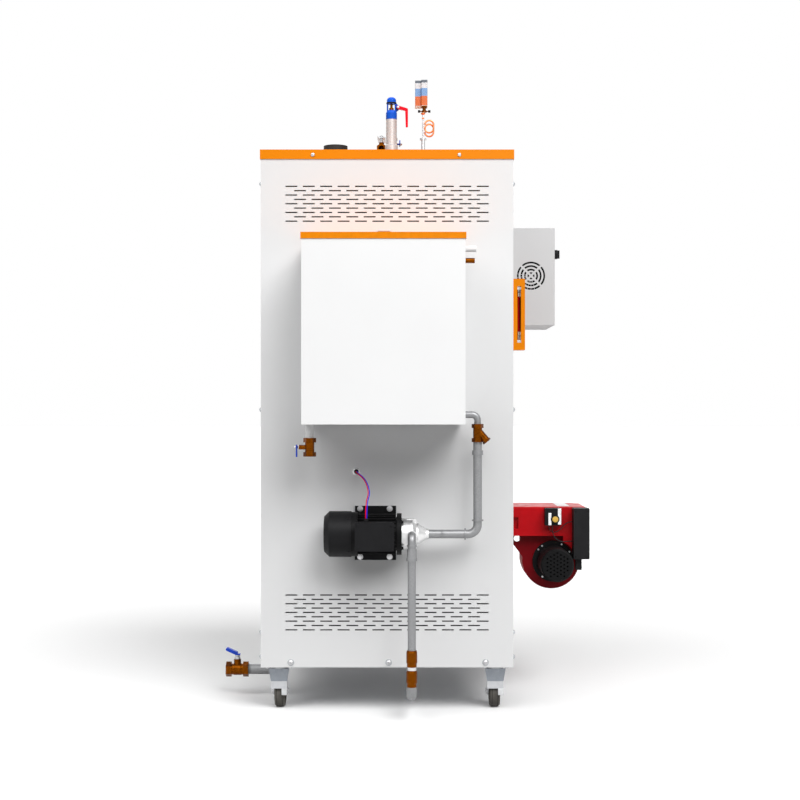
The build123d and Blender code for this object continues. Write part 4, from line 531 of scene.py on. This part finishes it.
def hex_head(flats, height):
    """Hexagon bolt head on a washer, as two shapes."""
    radius = flats / sqrt(3)
    rim, foot = radius * 1.25, height * 0.2
    washer = lathe([(0, 0), (rim, 0), (rim, foot), (0, foot)], 24)
    head = lathe([(0, foot), (radius, foot), (radius, height * 0.9), (radius * 0.88, height),
                  (0, height)], 6)
    return [washer, head]


def dome_head(radius, height):
    """Button head with a round socket in it."""
    turns = [pi / 2 * i / 5 for i in range(5)]
    steps = [(radius * cos(t), height * (0.25 + 0.75 * sin(t))) for t in turns]
    socket, floor = radius * 0.36, height * 0.45
    rim = [point for point in steps if point[0] > socket]
    return [lathe([(0, 0), (radius, 0), *rim, (socket, height), (socket, floor), (0, floor)], 24)]


def pan_head(radius, height):
    """Pan head with a dished middle that stands for its recess."""
    return [lathe([(0, 0), (radius, 0), (radius, height * 0.5), (radius * 0.8, height * 0.9),
                   (radius * 0.45, height), (0, height * 0.8)], 20)]


def thread(radius, length, pitch):
    """Rings that stand for the last turns of a thread, round a pipe of that radius."""
    root, crest = radius * 0.97, radius * 1.035
    rings = []
    for i in range(int(length / pitch)):
        z = i * pitch
        rings.append(lathe([(root, z), (crest, z + pitch * 0.5), (root, z + pitch)], 28))
    return rings


def seat(place, way, turn=0.0):
    """Matrix that puts a shape's foot at a place, pointing along a way."""
    direction = WAYS[way] if isinstance(way, str) else way
    aim = direction.to_track_quat("Z", "Y").to_matrix().to_4x4()
    return Matrix.Translation(Vector(place)) @ aim @ Matrix.Rotation(turn, 4, "Z")


def spot(x, y, z):
    """A place given in millimetres from the cabinet's middle, with z up from the floor."""
    return Vector((CABINET.x + x * MM, CABINET.y + y * MM, z * MM))


def placed(shapes, places, way):
    """The same shapes at several places, each paired with its matrix."""
    return [(seat(place, way), shape) for place in places for shape in shapes]


def bolt_circle(head, centre, way, radius, turns):
    """A fastener head repeated round a centre, at the given angles in degrees."""
    base = seat(centre, way)
    places = [(radius * MM * cos(radians(t)), radius * MM * sin(radians(t)), 0) for t in turns]
    return [(base @ Matrix.Translation(place), shape) for place in places for shape in head]


def make_piece(name, shapes, look, body="cabinet", bevel=0.0):
    """One mesh object from pairs of matrix and shape, with its body, slot and rounded edges."""
    mesh = bmesh.new()
    for matrix, (verts, faces) in shapes:
        made = [mesh.verts.new(matrix @ v) for v in verts]
        for face in faces:
            mesh.faces.new([made[i] for i in face])
    bmesh.ops.recalc_face_normals(mesh, faces=mesh.faces)
    for face in mesh.faces:
        face.smooth = True
    for edge in mesh.edges:
        if len(edge.link_faces) == 2 and edge.calc_face_angle(0.0) > radians(SHARP_ANGLE):
            edge.smooth = False
    data = bpy.data.meshes.new(name)
    mesh.to_mesh(data)
    mesh.free()
    piece = bpy.data.objects.new(name, data)
    bpy.context.collection.objects.link(piece)
    data.materials.append(LOOKS[look])
    if bevel:
        modifier = piece.modifiers.new("edges", "BEVEL")
        modifier.width = bevel * MM
        modifier.segments = 2
        modifier.limit_method = "ANGLE"
    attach(piece, body)


# Cords

WIRE_POINTS = ((-97, -505, 764.6), (-97, -539, 764.6), (-66, -580, 742.6), (-52, -639.5, 704.6),
               (-62, -677.5, 677.5), (-62, -677.5, 629.5))
WIRE_OFF = 2.0
WIRE_DIAMETER = 3.0
UPPER_LEAD = ((551, -121, 563), (551, -121, 543), (580, -123, 536), (612, -121, 575),
              (632, -121, 575))
LOWER_LEAD = ((562, -130, 563), (562, -130, 527), (590, -133, 506), (612, -130, 509),
              (632, -130, 509))
LEAD_DIAMETER = 3.2


def free_cord(name, points, diameter, look):
    """A smooth round cord along its route, in place of the CAD one."""
    route = [spot(*point) for point in points]
    curve = bpy.data.curves.new(name + "_line", "CURVE")
    curve.dimensions = "3D"
    curve.bevel_depth = diameter / 2 * MM
    curve.bevel_resolution = 5
    curve.resolution_u = 16
    spline = curve.splines.new("NURBS")
    spline.points.add(len(route) - 1)
    for point, place in zip(spline.points, route):
        point.co = (*place, 1)
    spline.order_u = 3
    spline.use_endpoint_u = True
    cord = bpy.data.objects.new(name + "_line", curve)
    bpy.context.collection.objects.link(cord)
    curve.materials.append(LOOKS[look])
    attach(cord, "cabinet")
    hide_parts(name)


def hang_cords():
    """The two motor wires and the two burner leads."""
    for name, shift in (("wire_red", -WIRE_OFF), ("wire_blue", WIRE_OFF)):
        free_cord(name, [(x + shift, y, z) for x, y, z in WIRE_POINTS], WIRE_DIAMETER, name)
    free_cord("burner_lead_upper", UPPER_LEAD, LEAD_DIAMETER, "lead")
    free_cord("burner_lead_lower", LOWER_LEAD, LEAD_DIAMETER, "lead")


# Cabinet fasteners

PANEL_BOLT = dome_head(8.5, 6)
PANEL_BOLT_X = (-305.0, 5.0, 312.0)
PANEL_BOLT_RISE = 15.5
PANEL_WASHER = tube(10.5, 8, 0, 1.6, 0.4)
COVER_SCREW = dome_head(6.5, 4.5)
COVER_SCREW_X = (-235.0, 229.0)
COVER_SCREW_DROP = 17.0
SIDE_BOLT = dome_head(8, 8)
SIDE_BOLT_Z = (172.0, 250.0, 960.0, 1680.0)
SIDE_BOLT_INSET = 36.0


def cabinet_fasteners():
    """Bolts along the panels' foot, screws in the cover's skirt and bolts up the side panels."""
    bolt_z = low("pump_side_panel").z + PANEL_BOLT_RISE * MM
    cover_z = high("top_cover").z - COVER_SCREW_DROP * MM
    heads, washers, side_bolts = [], [], []
    for way, panel_y, cover_y in (("-y", NEAR_FACE, low("top_cover").y),
                                  ("+y", FAR_FACE, high("top_cover").y)):
        places = [(CABINET.x + x * MM, panel_y, bolt_z) for x in PANEL_BOLT_X]
        heads += placed(PANEL_BOLT, places, way)
        washers += placed([PANEL_WASHER], places, way)
        places = [(CABINET.x + x * MM, cover_y, cover_z) for x in COVER_SCREW_X]
        heads += placed(COVER_SCREW, places, way)
    inset = (FAR_FACE - NEAR_FACE) / 2 - SIDE_BOLT_INSET * MM
    for way, x in (("+x", RIGHT_FACE), ("-x", LEFT_FACE)):
        places = [(x, CABINET.y + side * inset, z * MM) for side in (-1, 1) for z in SIDE_BOLT_Z]
        side_bolts += placed(SIDE_BOLT, places, way)
    make_piece("cabinet_bolts", heads, "screw")
    make_piece("panel_washers", washers, "lever_steel")
    make_piece("side_panel_bolts", side_bolts, "lever_steel")


# Casters

CASTERS = ("front_left", "front_right", "rear_left", "rear_right")
CASTER_X = 346.0
CASTER_Y = 430.0
PLATE_BOLT = hex_head(11, 5.5)
PLATE_BOLT_X = 36.0
PLATE_BOLT_Y = 30.0
PLATE_T = 4
AXLE_NUT = hex_head(17, 6)
AXLE_NUT_OUT = 22.5
BRAKE_PAD = slab(17.5, 21, 0, 4)
TAB_X = 17.0
TAB_Z = 58.0
TAB_REACH = 25.8
TREAD_LINE_OUT = 9
TREAD_LINE_HALF = 0.8
HUB_CAP = tube(14, 7, 16.8, 18.2, 0.6)


def fork_centre(corner):
    """The swivel axis of a caster, at floor level."""
    x = CASTER_X if corner.endswith("right") else -CASTER_X
    y = CASTER_Y if corner.startswith("rear") else -CASTER_Y
    return spot(x, y, 0)


def caster_plate_bolts():
    """Four bolts up through each caster's mounting plate."""
    plate_z = high("caster_plates").z - PLATE_T * MM
    places = []
    for corner in CASTERS:
        centre = fork_centre(corner)
        places += [(centre.x + x * MM, centre.y + y * MM, plate_z)
                   for x in (-PLATE_BOLT_X, PLATE_BOLT_X) for y in (-PLATE_BOLT_Y, PLATE_BOLT_Y)]
    make_piece("caster_plate_bolts", placed(PLATE_BOLT, places, "-z"), "screw")


def dress_caster(corner):
    """Axle nuts, the white pad on the brake tab, the tread's lines and the hub's caps."""
    axle = middle("caster_wheel_" + corner)
    fork = "fork_" + corner
    nuts = []
    for way, side in (("+x", 1), ("-x", -1)):
        nuts += placed(AXLE_NUT, [axle + Vector((side * AXLE_NUT_OUT * MM, 0, 0))], way)
    make_piece("axle_nuts_" + corner, nuts, "screw", fork, bevel=0.4)

    centre = fork_centre(corner)
    pad_place = (centre.x + TAB_X * MM, centre.y - TAB_REACH * MM, TAB_Z * MM)
    make_piece("brake_pad_" + corner, placed([BRAKE_PAD], [pad_place], "-y"), "pad_white", fork,
               1.5)

    lines = []
    for out in (-TREAD_LINE_OUT, TREAD_LINE_OUT):
        line = tube(50.2, 48.5, out - TREAD_LINE_HALF, out + TREAD_LINE_HALF, 0.3)
        lines += placed([line], [axle], "+x")
    for way in ("+x", "-x"):
        lines += placed([HUB_CAP], [axle], way)
    make_piece("tread_lines_" + corner, lines, "plastic", "wheel_" + corner)


# Feed pump

MOTOR_AXIS_Y = -590.0
MOTOR_AXIS_Z = 574.5
MOTOR_MIDDLE_X = -36.5
FOOT_BOLT = hex_head(13, 8)
FOOT_BOLT_X = (-85.0, 8.4)
FOOT_BOLT_Y = -508.0
FOOT_BOLT_Z = (495.0, 647.0)
FLANGE_BOLT = hex_head(9, 6)
FLANGE_BOLT_X = 46.0
FLANGE_BOLT_R = 56.5
TERMINAL_SCREW = pan_head(3.6, 2.4)
TERMINAL_SCREW_X = 51.0
TERMINAL_SCREW_Z = 35.0
FAN_X = -118.0
FAN_HUB = lathe([(0, 0), (16, 0), (16, 30), (0, 30)], 24)
FAN_BLADE = slab(44, 2, 4, 28)
FAN_BLADE_OUT = 36
FAN_BLADES = 9
FAN_COVER_SCREW = pan_head(3.6, 2.2)
FAN_COVER_R = 70.9


def dress_pump():
    """Bolts of the motor's feet and flange, the terminal box's screws, the fan and its screws."""
    places = [spot(x, FOOT_BOLT_Y, z) for x in FOOT_BOLT_X for z in FOOT_BOLT_Z]
    make_piece("foot_bolts", placed(FOOT_BOLT, places, "-y"), "screw", bevel=0.3)
    axis = spot(FLANGE_BOLT_X, MOTOR_AXIS_Y, MOTOR_AXIS_Z)
    bolts = bolt_circle(FLANGE_BOLT, axis, "+x", FLANGE_BOLT_R, QUARTERS)
    make_piece("flange_bolts", bolts, "motor", bevel=0.3)

    lid_y = low("terminal_box").y
    places = [(CABINET.x + (MOTOR_MIDDLE_X + x) * MM, lid_y, (MOTOR_AXIS_Z + z) * MM)
              for x in (-TERMINAL_SCREW_X, TERMINAL_SCREW_X)
              for z in (-TERMINAL_SCREW_Z, TERMINAL_SCREW_Z)]
    make_piece("terminal_screws", placed(TERMINAL_SCREW, places, "-y"), "plastic")

    fan_axis = spot(FAN_X, MOTOR_AXIS_Y, MOTOR_AXIS_Z)
    base = seat(fan_axis, "-x")
    blades = [(base, FAN_HUB)]
    for i in range(FAN_BLADES):
        turn = Matrix.Rotation(2 * pi * i / FAN_BLADES, 4, "Z")
        blades.append((base @ turn @ Matrix.Translation((FAN_BLADE_OUT * MM, 0, 0)), FAN_BLADE))
    make_piece("motor_fan", blades, "plastic")

    screws = []
    for turn in QUARTERS:
        out = Vector((0, cos(radians(turn)), sin(radians(turn))))
        screws += placed(FAN_COVER_SCREW, [fan_axis + out * FAN_COVER_R * MM], out)
    make_piece("fan_cover_screws", screws, "plastic")


GROMMET = (-97.0, -500.0, 764.6)
GROMMET_SEAL = lathe([(0, 4.9), (7.6, 4.9), (7.6, 5.6), (6, 6.2), (0, 6.2)])


def dress_grommet():
    """The black seal in the middle of the cable grommet."""
    make_piece("grommet_seal", placed([GROMMET_SEAL], [spot(*GROMMET)], "-y"), "plastic")


# Pipe threads: each is the pipe's end, the way it runs on and its radius

THREADS = (((282, -590, 860), "-z", 13.45), ((282, -590, 916), "+z", 10.5),
           ((167, -590, 574.5), "+x", 13.45), ((77, -662, 225), "+z", 12.5),
           ((-468, -215, 87), "+x", 16.85))
THREAD_L = 9
THREAD_PITCH = 1.8


def dress_pipes():
    """Thread turns that show where pipes go into fittings."""
    rings = []
    for end, way, radius in THREADS:
        rings += placed(thread(radius, THREAD_L, THREAD_PITCH), [spot(*end)], way)
    make_piece("pipe_threads", rings, "pipe")


# Top fittings

SAFETY_X = 11
SAFETY_BAND = tube(18.2, 16.2, 0, 5, 0.6)
SAFETY_BAND_Z = 2031.5
SAFETY_SPINDLE = tube(4.3, 3.3, 0, 23, 0.3)
SAFETY_SPINDLE_NUT = lathe([(3.3, 0), (8, 0), (8, 9), (3.3, 9)], 6)
SAFETY_SPINDLE_Z = 2008.4
SAFETY_PIN = dome_head(5, 2.5)
SAFETY_PIN_X = 34
SAFETY_PIN_Z = 2020
SAFETY_PIN_ENDS = (("-y", -4.7), ("+y", 10.7))
STEAM_NUT = (-25, 74, 1928)
VENT_NUT_Y = 70
VENT_NUT_Z = 1903
DRAIN_STEM_Z = 845.5
GAUGE_TUBE_X = 122
TUBE_CONE = lathe([(3.3, 0), (4.5, 0), (8, 4), (8, 7), (3.3, 7)], 32)
TUBE_CONE_Z = 1993.5
TUBE_BEAD = lathe([(3.3, 0), (4.4, 1), (4.4, 4), (3.3, 5)], 32)
TUBE_BEAD_Z = 1979
CASE_SCREW = pan_head(2.4, 1.2)
CASE_DEPTH = 46
CASE_SCREW_Y = (7, 39)


def dress_safety_valve():
    """Dark band under the dome, spindle and nut in the window, and the lever pin's ends."""
    band = placed([SAFETY_BAND], [spot(SAFETY_X, 0, SAFETY_BAND_Z)], "+z")
    make_piece("safety_valve_band", band, "plastic")
    shapes = [SAFETY_SPINDLE, SAFETY_SPINDLE_NUT]
    spindle = placed(shapes, [spot(SAFETY_X, 0, SAFETY_SPINDLE_Z)], "+z")
    make_piece("safety_valve_spindle", spindle, "brass", bevel=0.4)
    pins = []
    for way, y in SAFETY_PIN_ENDS:
        pins += placed(SAFETY_PIN, [spot(SAFETY_PIN_X, y, SAFETY_PIN_Z)], way)
    make_piece("safety_lever_pin", pins, "screw")


def handle_nut(name, place, way, flats, body):
    """The nut that holds a valve's handle to its stem, on its washer, with the stem's end."""
    radius = flats / sqrt(3)
    shapes = [lathe([(0, 0), (radius * 1.2, 0), (radius * 1.2, 1), (0, 1)]),
              lathe([(0, 1), (radius, 1), (radius, 5), (0, 5)], 6),
              lathe([(0, 5), (radius * 0.5, 5), (radius * 0.5, 6.5), (0, 7)])]
    make_piece(name, placed(shapes, [place], way), "screw", body, bevel=0.3)


def dress_handles():
    """Nuts on the levers of the steam valve, the vent cock and the tank's drain valve."""
    handle_nut("steam_handle_nut", spot(*STEAM_NUT), "+z", 11, "steam_lever")
    vent = (high("vent_cock_lever").x, spot(0, VENT_NUT_Y, 0).y, VENT_NUT_Z * MM)
    handle_nut("vent_handle_nut", vent, "+x", 8, "vent_lever")
    drain = (low("tank_drain_lever").x, middle("tank_drain_valve").y, DRAIN_STEM_Z * MM)
    handle_nut("drain_handle_nut", drain, "-x", 9, "tank_drain_lever")


def dress_gauge_line():
    """Copper cone and bead on the gauge tube, under the manifold."""
    nuts = placed([TUBE_CONE], [spot(GAUGE_TUBE_X, 0, TUBE_CONE_Z)], "+z")
    nuts += placed([TUBE_BEAD], [spot(GAUGE_TUBE_X, 0, TUBE_BEAD_Z)], "+z")
    make_piece("gauge_tube_nuts", nuts, "copper", bevel=0.3)


def dress_controllers_trim():
    """Lid screws of the pressure controllers, of which the left one stands further back."""
    near, top = low("pressure_controllers"), high("pressure_controllers")
    quarter = (top.x - near.x) / 4
    screws = []
    for x, y in ((near.x + quarter, top.y - CASE_DEPTH * MM), (top.x - quarter, near.y)):
        screws += placed(CASE_SCREW, [(x, y + along * MM, top.z) for along in CASE_SCREW_Y], "+z")
    make_piece("controller_screws", screws, "screw")


# Stem nuts of the blow-down valve and the tank's drain valve

BLOWDOWN_STEM = (-505.5, -215)
BLOWDOWN_NUT_Z = 121
BLOWDOWN_CAP_Z = 130.4
BLOWDOWN_NUT = [lathe([(5.3, 0), (10, 0), (10, 7), (5.3, 7), (5.3, 0)], 6), tube(7.2, 5.3, 7, 9)]
BLOWDOWN_CAP = tube(9, 4.8, 0, 4.5, 0.8)
DRAIN_NUT = lathe([(4.3, 0), (8.4, 0), (8.4, 2.2), (4.3, 2.2), (4.3, 0)], 6)
DRAIN_NUT_PLACE = (-269.2, -646, DRAIN_STEM_Z)


def dress_stems():
    """Packing nuts under the levers, and the nut on top of the blow-down lever."""
    packing = placed(BLOWDOWN_NUT, [spot(*BLOWDOWN_STEM, BLOWDOWN_NUT_Z)], "+z")
    make_piece("blowdown_packing_nut", packing, "screw", bevel=0.4)
    cap = placed([BLOWDOWN_CAP], [spot(*BLOWDOWN_STEM, BLOWDOWN_CAP_Z)], "+z")
    make_piece("blowdown_lever_nut", cap, "screw", "blowdown_lever")
    gland = placed([DRAIN_NUT], [spot(*DRAIN_NUT_PLACE)], "-x")
    make_piece("drain_packing_nut", gland, "screw", bevel=0.2)


# Control box and level gauge

GRILLE_X, GRILLE_Y, GRILLE_Z = 487, -156.5, 1415
MESH_R = 52.0
MESH_PITCH = 6.5
MESH_WIRE = 0.7
MESH_IN = 2.2
FAN_PLATE = lathe([(0, 0), (58, 0), (58, 1), (20, 1), (20, 2), (0, 2)], 48)
FAN_PLATE_IN = 9
FAN_ARM = slab(1, 3.4, 0, 44)
FAN_ARM_IN = 0.4
FAN_ARM_OUT = 16
FAN_ARMS = (172.0, 187.0, 202.0, 217.0, 240.0, 255.0, 270.0, 285.0)

GLASS_X, GLASS_Y = 431.0, -325.0
SLEEVE = tube(6.4, 4.6, 0, 12.5, 0.8)
SLEEVE_Z = (1203.5, 1331)
CONE = lathe([(4.6, 0), (6.2, 0), (6.6, 8), (5, 19), (4.6, 19), (4.6, 0)], 28)
CONE_ENDS = ((1203, "-z"), (1344, "+z"))
STRIP = slab(3.2, 0.6, 0, 113)
STRIP_X, STRIP_Y, STRIP_Z = GLASS_X + 4.4, GLASS_Y - 5, 1217
GUARD_SCREW = pan_head(3, 2)
GUARD_SCREW_IN = 8
GUARD_SCREW_END = 11


def dress_control_box():
    """Wire mesh, fan hub and pale fan arms behind the grille."""
    centre = spot(GRILLE_X, GRILLE_Y + MESH_IN, GRILLE_Z)
    bars = []
    count = int(MESH_R / MESH_PITCH)
    for i in range(-count, count + 1):
        across = i * MESH_PITCH
        bar = slab(2 * MESH_WIRE, 2 * sqrt(MESH_R ** 2 - across ** 2), 0, MESH_WIRE)
        for turn in (0.0, pi / 2):
            bars.append((seat(centre, "-y", turn) @ Matrix.Translation((across * MM, 0, 0)), bar))
    make_piece("grille_mesh", bars, "plastic")
    plate = placed([FAN_PLATE], [spot(GRILLE_X, GRILLE_Y + FAN_PLATE_IN, GRILLE_Z)], "-y")
    make_piece("grille_fan", plate, "dark")
    arms = []
    for turn in FAN_ARMS:
        out = Vector((cos(radians(turn)), 0, sin(radians(turn))))
        place = centre + Vector((0, FAN_ARM_IN * MM, 0)) + out * FAN_ARM_OUT * MM
        arms.append((seat(place, out, pi / 2), FAN_ARM))
    make_piece("fan_arms", arms, "box_white")


def dress_level_gauge():
    """Sleeves and cones on the glass, a dark strip beside it and the guard's screws."""
    sleeves = placed([SLEEVE], [spot(GLASS_X, GLASS_Y, z) for z in SLEEVE_Z], "+z")
    make_piece("gauge_sleeves", sleeves, "bright")
    cones = []
    for z, way in CONE_ENDS:
        cones += placed([CONE], [spot(GLASS_X, GLASS_Y, z)], way)
    make_piece("gauge_cones", cones, "lever_steel")
    make_piece("gauge_strip", placed([STRIP], [spot(STRIP_X, STRIP_Y, STRIP_Z)], "+z"), "dark")
    near, far = low("level_gauge_guard"), high("level_gauge_guard")
    places = [(near.x + GUARD_SCREW_IN * MM, near.y, z)
              for z in (near.z + GUARD_SCREW_END * MM, far.z - GUARD_SCREW_END * MM)]
    make_piece("guard_screws", placed(GUARD_SCREW, places, "-y"), "screw")


# Burner

BURNER_FACE = -106.0
IGNITION_FACE = BURNER_FACE - 30
BRACKETS = (((553.2, 585), slab(11, 42, 0, 2.5)), ((586.2, 593.5), slab(12, 55, 0, 2.5)))
BUTTON_X, BUTTON_Z = 571, 584.5
BUTTON_OUT = 8
BUTTON_COLLAR = tube(14.8, 10.9, 0, 6, 1)
BUTTON = lathe([(0, 0), (10.2, 0), (10.2, 1.2), (8.6, 2.4), (0, 3)], 40)
BURNER_MOTOR = (570.5, -76.0, 435.0)
FLANGE_SCREW = pan_head(3.6, 2.6)
FLANGE_SCREW_R = 65
FLANGE_SCREW_TURNS = (30, 63, 126, 142, -125, -55)
HOUSING_SCREW = pan_head(3.5, 2.5)
HOUSING_SCREWS = ((418, 617), (666, 617), (424, 537))
HOUSING_PLUG = pan_head(4, 2)
HOUSING_PLUG_X = (557, 578.6)
HOUSING_PLUG_Z = 542
LABEL = slab(42, 165, 0, 0.4)
LABEL_PLACE = (607, 17, 625)
RELAY_FACE = BURNER_FACE - 54
RELAY_SEAM = slab(54.6, 173.6, 0, 1.2)
RELAY_SEAM_PLACE = (659, RELAY_FACE + 14, 536.5)
RELAY_SCREW = pan_head(2.8, 1.4)
RELAY_SCREW_X = (640, 678)
RELAY_SCREW_Z = (459, 614)
SPOUT_X, SPOUT_Y = 651, BURNER_FACE - 27
SPOUT_RIB = slab(21.4, 21.4, 0, 3)
SPOUT_RIB_Z = (446, 438, 430, 422)


def dress_burner():
    """Trim of the ignition block, housing, motor flange and relay box, and a bare label."""
    brackets = []
    for (x, z), shape in BRACKETS:
        brackets += placed([shape], [spot(x, IGNITION_FACE, z)], "-y")
    make_piece("ignition_brackets", brackets, "bright", bevel=0.8)
    collar = placed([BUTTON_COLLAR], [spot(BUTTON_X, IGNITION_FACE, BUTTON_Z)], "-y")
    make_piece("button_collar", collar, "plastic")
    button = placed([BUTTON], [spot(BUTTON_X, IGNITION_FACE - BUTTON_OUT, BUTTON_Z)], "-y")
    make_piece("reset_button", button, "yellow")

    motor = spot(*BURNER_MOTOR)
    screws = bolt_circle(FLANGE_SCREW, motor, "-y", FLANGE_SCREW_R, FLANGE_SCREW_TURNS)
    screws += placed(HOUSING_SCREW, [spot(x, BURNER_FACE, z) for x, z in HOUSING_SCREWS], "-y")
    make_piece("burner_screws", screws, "screw")
    places = [spot(x, BURNER_FACE, HOUSING_PLUG_Z) for x in HOUSING_PLUG_X]
    make_piece("housing_plugs", placed(HOUSING_PLUG, places, "-y"), "red_paint")

    label = placed([LABEL], [spot(*LABEL_PLACE)], "+z")
    make_piece("bare_label", label, "pad_white")

    make_piece("relay_box_seam", placed([RELAY_SEAM], [spot(*RELAY_SEAM_PLACE)], "-y"), "dark")
    places = [spot(x, RELAY_FACE, z) for x in RELAY_SCREW_X for z in RELAY_SCREW_Z]
    make_piece("relay_box_screws", placed(RELAY_SCREW, places, "-y"), "plastic")
    places = [spot(SPOUT_X, SPOUT_Y, z) for z in SPOUT_RIB_Z]
    make_piece("spout_ribs", placed([SPOUT_RIB], places, "-z"), "plastic", bevel=0.6)


hang_cords()
cabinet_fasteners()
caster_plate_bolts()
for corner in CASTERS:
    dress_caster(corner)
dress_pump()
dress_grommet()
dress_pipes()
dress_safety_valve()
dress_handles()
dress_stems()
dress_gauge_line()
dress_controllers_trim()
dress_control_box()
dress_level_gauge()
dress_burner()


# Camera and studio

def place_camera():
    """Camera at the photograph's viewing angle."""
    data = bpy.data.cameras.new("camera")
    data.sensor_width = CAMERA_SENSOR
    data.lens = CAMERA_LENS
    data.shift_y = HORIZON_SHIFT
    camera = bpy.data.objects.new("camera", data)
    camera.location = (CABINET.x + CAMERA_RIGHT, NEAR_FACE - CAMERA_DISTANCE, CAMERA_HEIGHT)
    camera.rotation_euler = (radians(90), 0, 0)
    bpy.context.collection.objects.link(camera)
    bpy.context.scene.camera = camera


def soft_sun(name, turn, height, strength, angle):
    """A sun with a wide disc, turned to the right from the camera's side. Angles are in degrees."""
    data = bpy.data.lights.new(name, "SUN")
    data.energy = strength
    data.angle = radians(angle)
    lamp = bpy.data.objects.new(name, data)
    lamp.rotation_euler = (radians(90 - height), 0, radians(turn))
    bpy.context.collection.objects.link(lamp)


def soft_box(place, aim, size, power):
    """A square lamp high up in front. Its places are in metres from the foot of the near face."""
    data = bpy.data.lights.new("soft_box", "AREA")
    data.shape = "SQUARE"
    data.size = size
    data.energy = power
    lamp = bpy.data.objects.new("soft_box", data)
    foot = Vector((CABINET.x, NEAR_FACE, 0))
    lamp.location = foot + Vector(place)
    lamp.rotation_euler = (foot + Vector(aim) - lamp.location).to_track_quat("-Z", "Y").to_euler()
    bpy.context.collection.objects.link(lamp)


def math_node(tree, operation, *values):
    """The result of a maths node. Its values are numbers or other nodes' outputs."""
    node = tree.nodes.new("ShaderNodeMath")
    node.operation = operation
    for socket, value in zip(node.inputs, values):
        if isinstance(value, bpy.types.NodeSocket):
            tree.links.new(value, socket)
        else:
            socket.default_value = value
    return node.outputs[0]


def seen_share(tree, glossy):
    """1 for camera and transmission rays, a chosen share for glossy rays and 0 for the others."""
    paths = tree.nodes.new("ShaderNodeLightPath").outputs
    total = math_node(tree, "MULTIPLY", paths["Is Glossy Ray"], glossy)
    for name in ("Is Camera Ray", "Is Transmission Ray"):
        total = math_node(tree, "MAXIMUM", paths[name], total)
    return total


def white_floor():
    """Round pale floor."""
    data = bpy.data.meshes.new("floor")
    shape = bmesh.new()
    bmesh.ops.create_circle(shape, cap_ends=True, segments=64, radius=FLOOR_R)
    shape.to_mesh(data)
    shape.free()
    floor = bpy.data.objects.new("floor", data)
    bpy.context.collection.objects.link(floor)

    material = bpy.data.materials.new("floor_white")
    material.use_nodes = True
    tree = material.node_tree
    surface = tree.nodes["Principled BSDF"].inputs
    seen = seen_share(tree, 1.0)
    paleness = math_node(tree, "MULTIPLY_ADD", seen, FLOOR_SEEN - FLOOR_THROWN, FLOOR_THROWN)
    tree.links.new(paleness, surface["Base Color"])
    surface["Roughness"].default_value = FLOOR_ROUGHNESS
    surface["Specular IOR Level"].default_value = 0.0
    surface["Emission Color"].default_value = (1, 1, 1, 1)
    reach = tree.nodes.new("ShaderNodeVectorMath")
    reach.operation = "LENGTH"
    tree.links.new(tree.nodes.new("ShaderNodeTexCoord").outputs["Object"], reach.inputs[0])
    glow = tree.nodes.new("ShaderNodeMapRange")
    tree.links.new(reach.outputs["Value"], glow.inputs["Value"])
    for socket, value in (("From Min", FLOOR_NEAR), ("From Max", FLOOR_FAR),
                          ("To Min", FLOOR_GLOW), ("To Max", FLOOR_FAR_GLOW)):
        glow.inputs[socket].default_value = value
    shown = math_node(tree, "MULTIPLY", glow.outputs["Result"], seen)
    tree.links.new(shown, surface["Emission Strength"])
    data.materials.append(material)


def white_world():
    """World that is white to the camera and dim to the machine."""
    world = bpy.data.worlds.new("studio")
    bpy.context.scene.world = world
    world.use_nodes = True
    tree = world.node_tree
    background = tree.nodes["Background"].inputs
    background["Color"].default_value = (1, 1, 1, 1)
    seen = seen_share(tree, GLOSSY_LEVEL)
    level = math_node(tree, "MULTIPLY_ADD", seen, 1.0 - WORLD_LEVEL, WORLD_LEVEL)
    tree.links.new(level, background["Strength"])


place_camera()
white_floor()
white_world()
soft_sun("key_sun", **KEY_SUN)
soft_sun("fill_sun", **FILL_SUN)
soft_sun("back_sun", **BACK_SUN)
soft_box(**TOP_LAMP)
bpy.context.scene.view_settings.view_transform = "Standard"
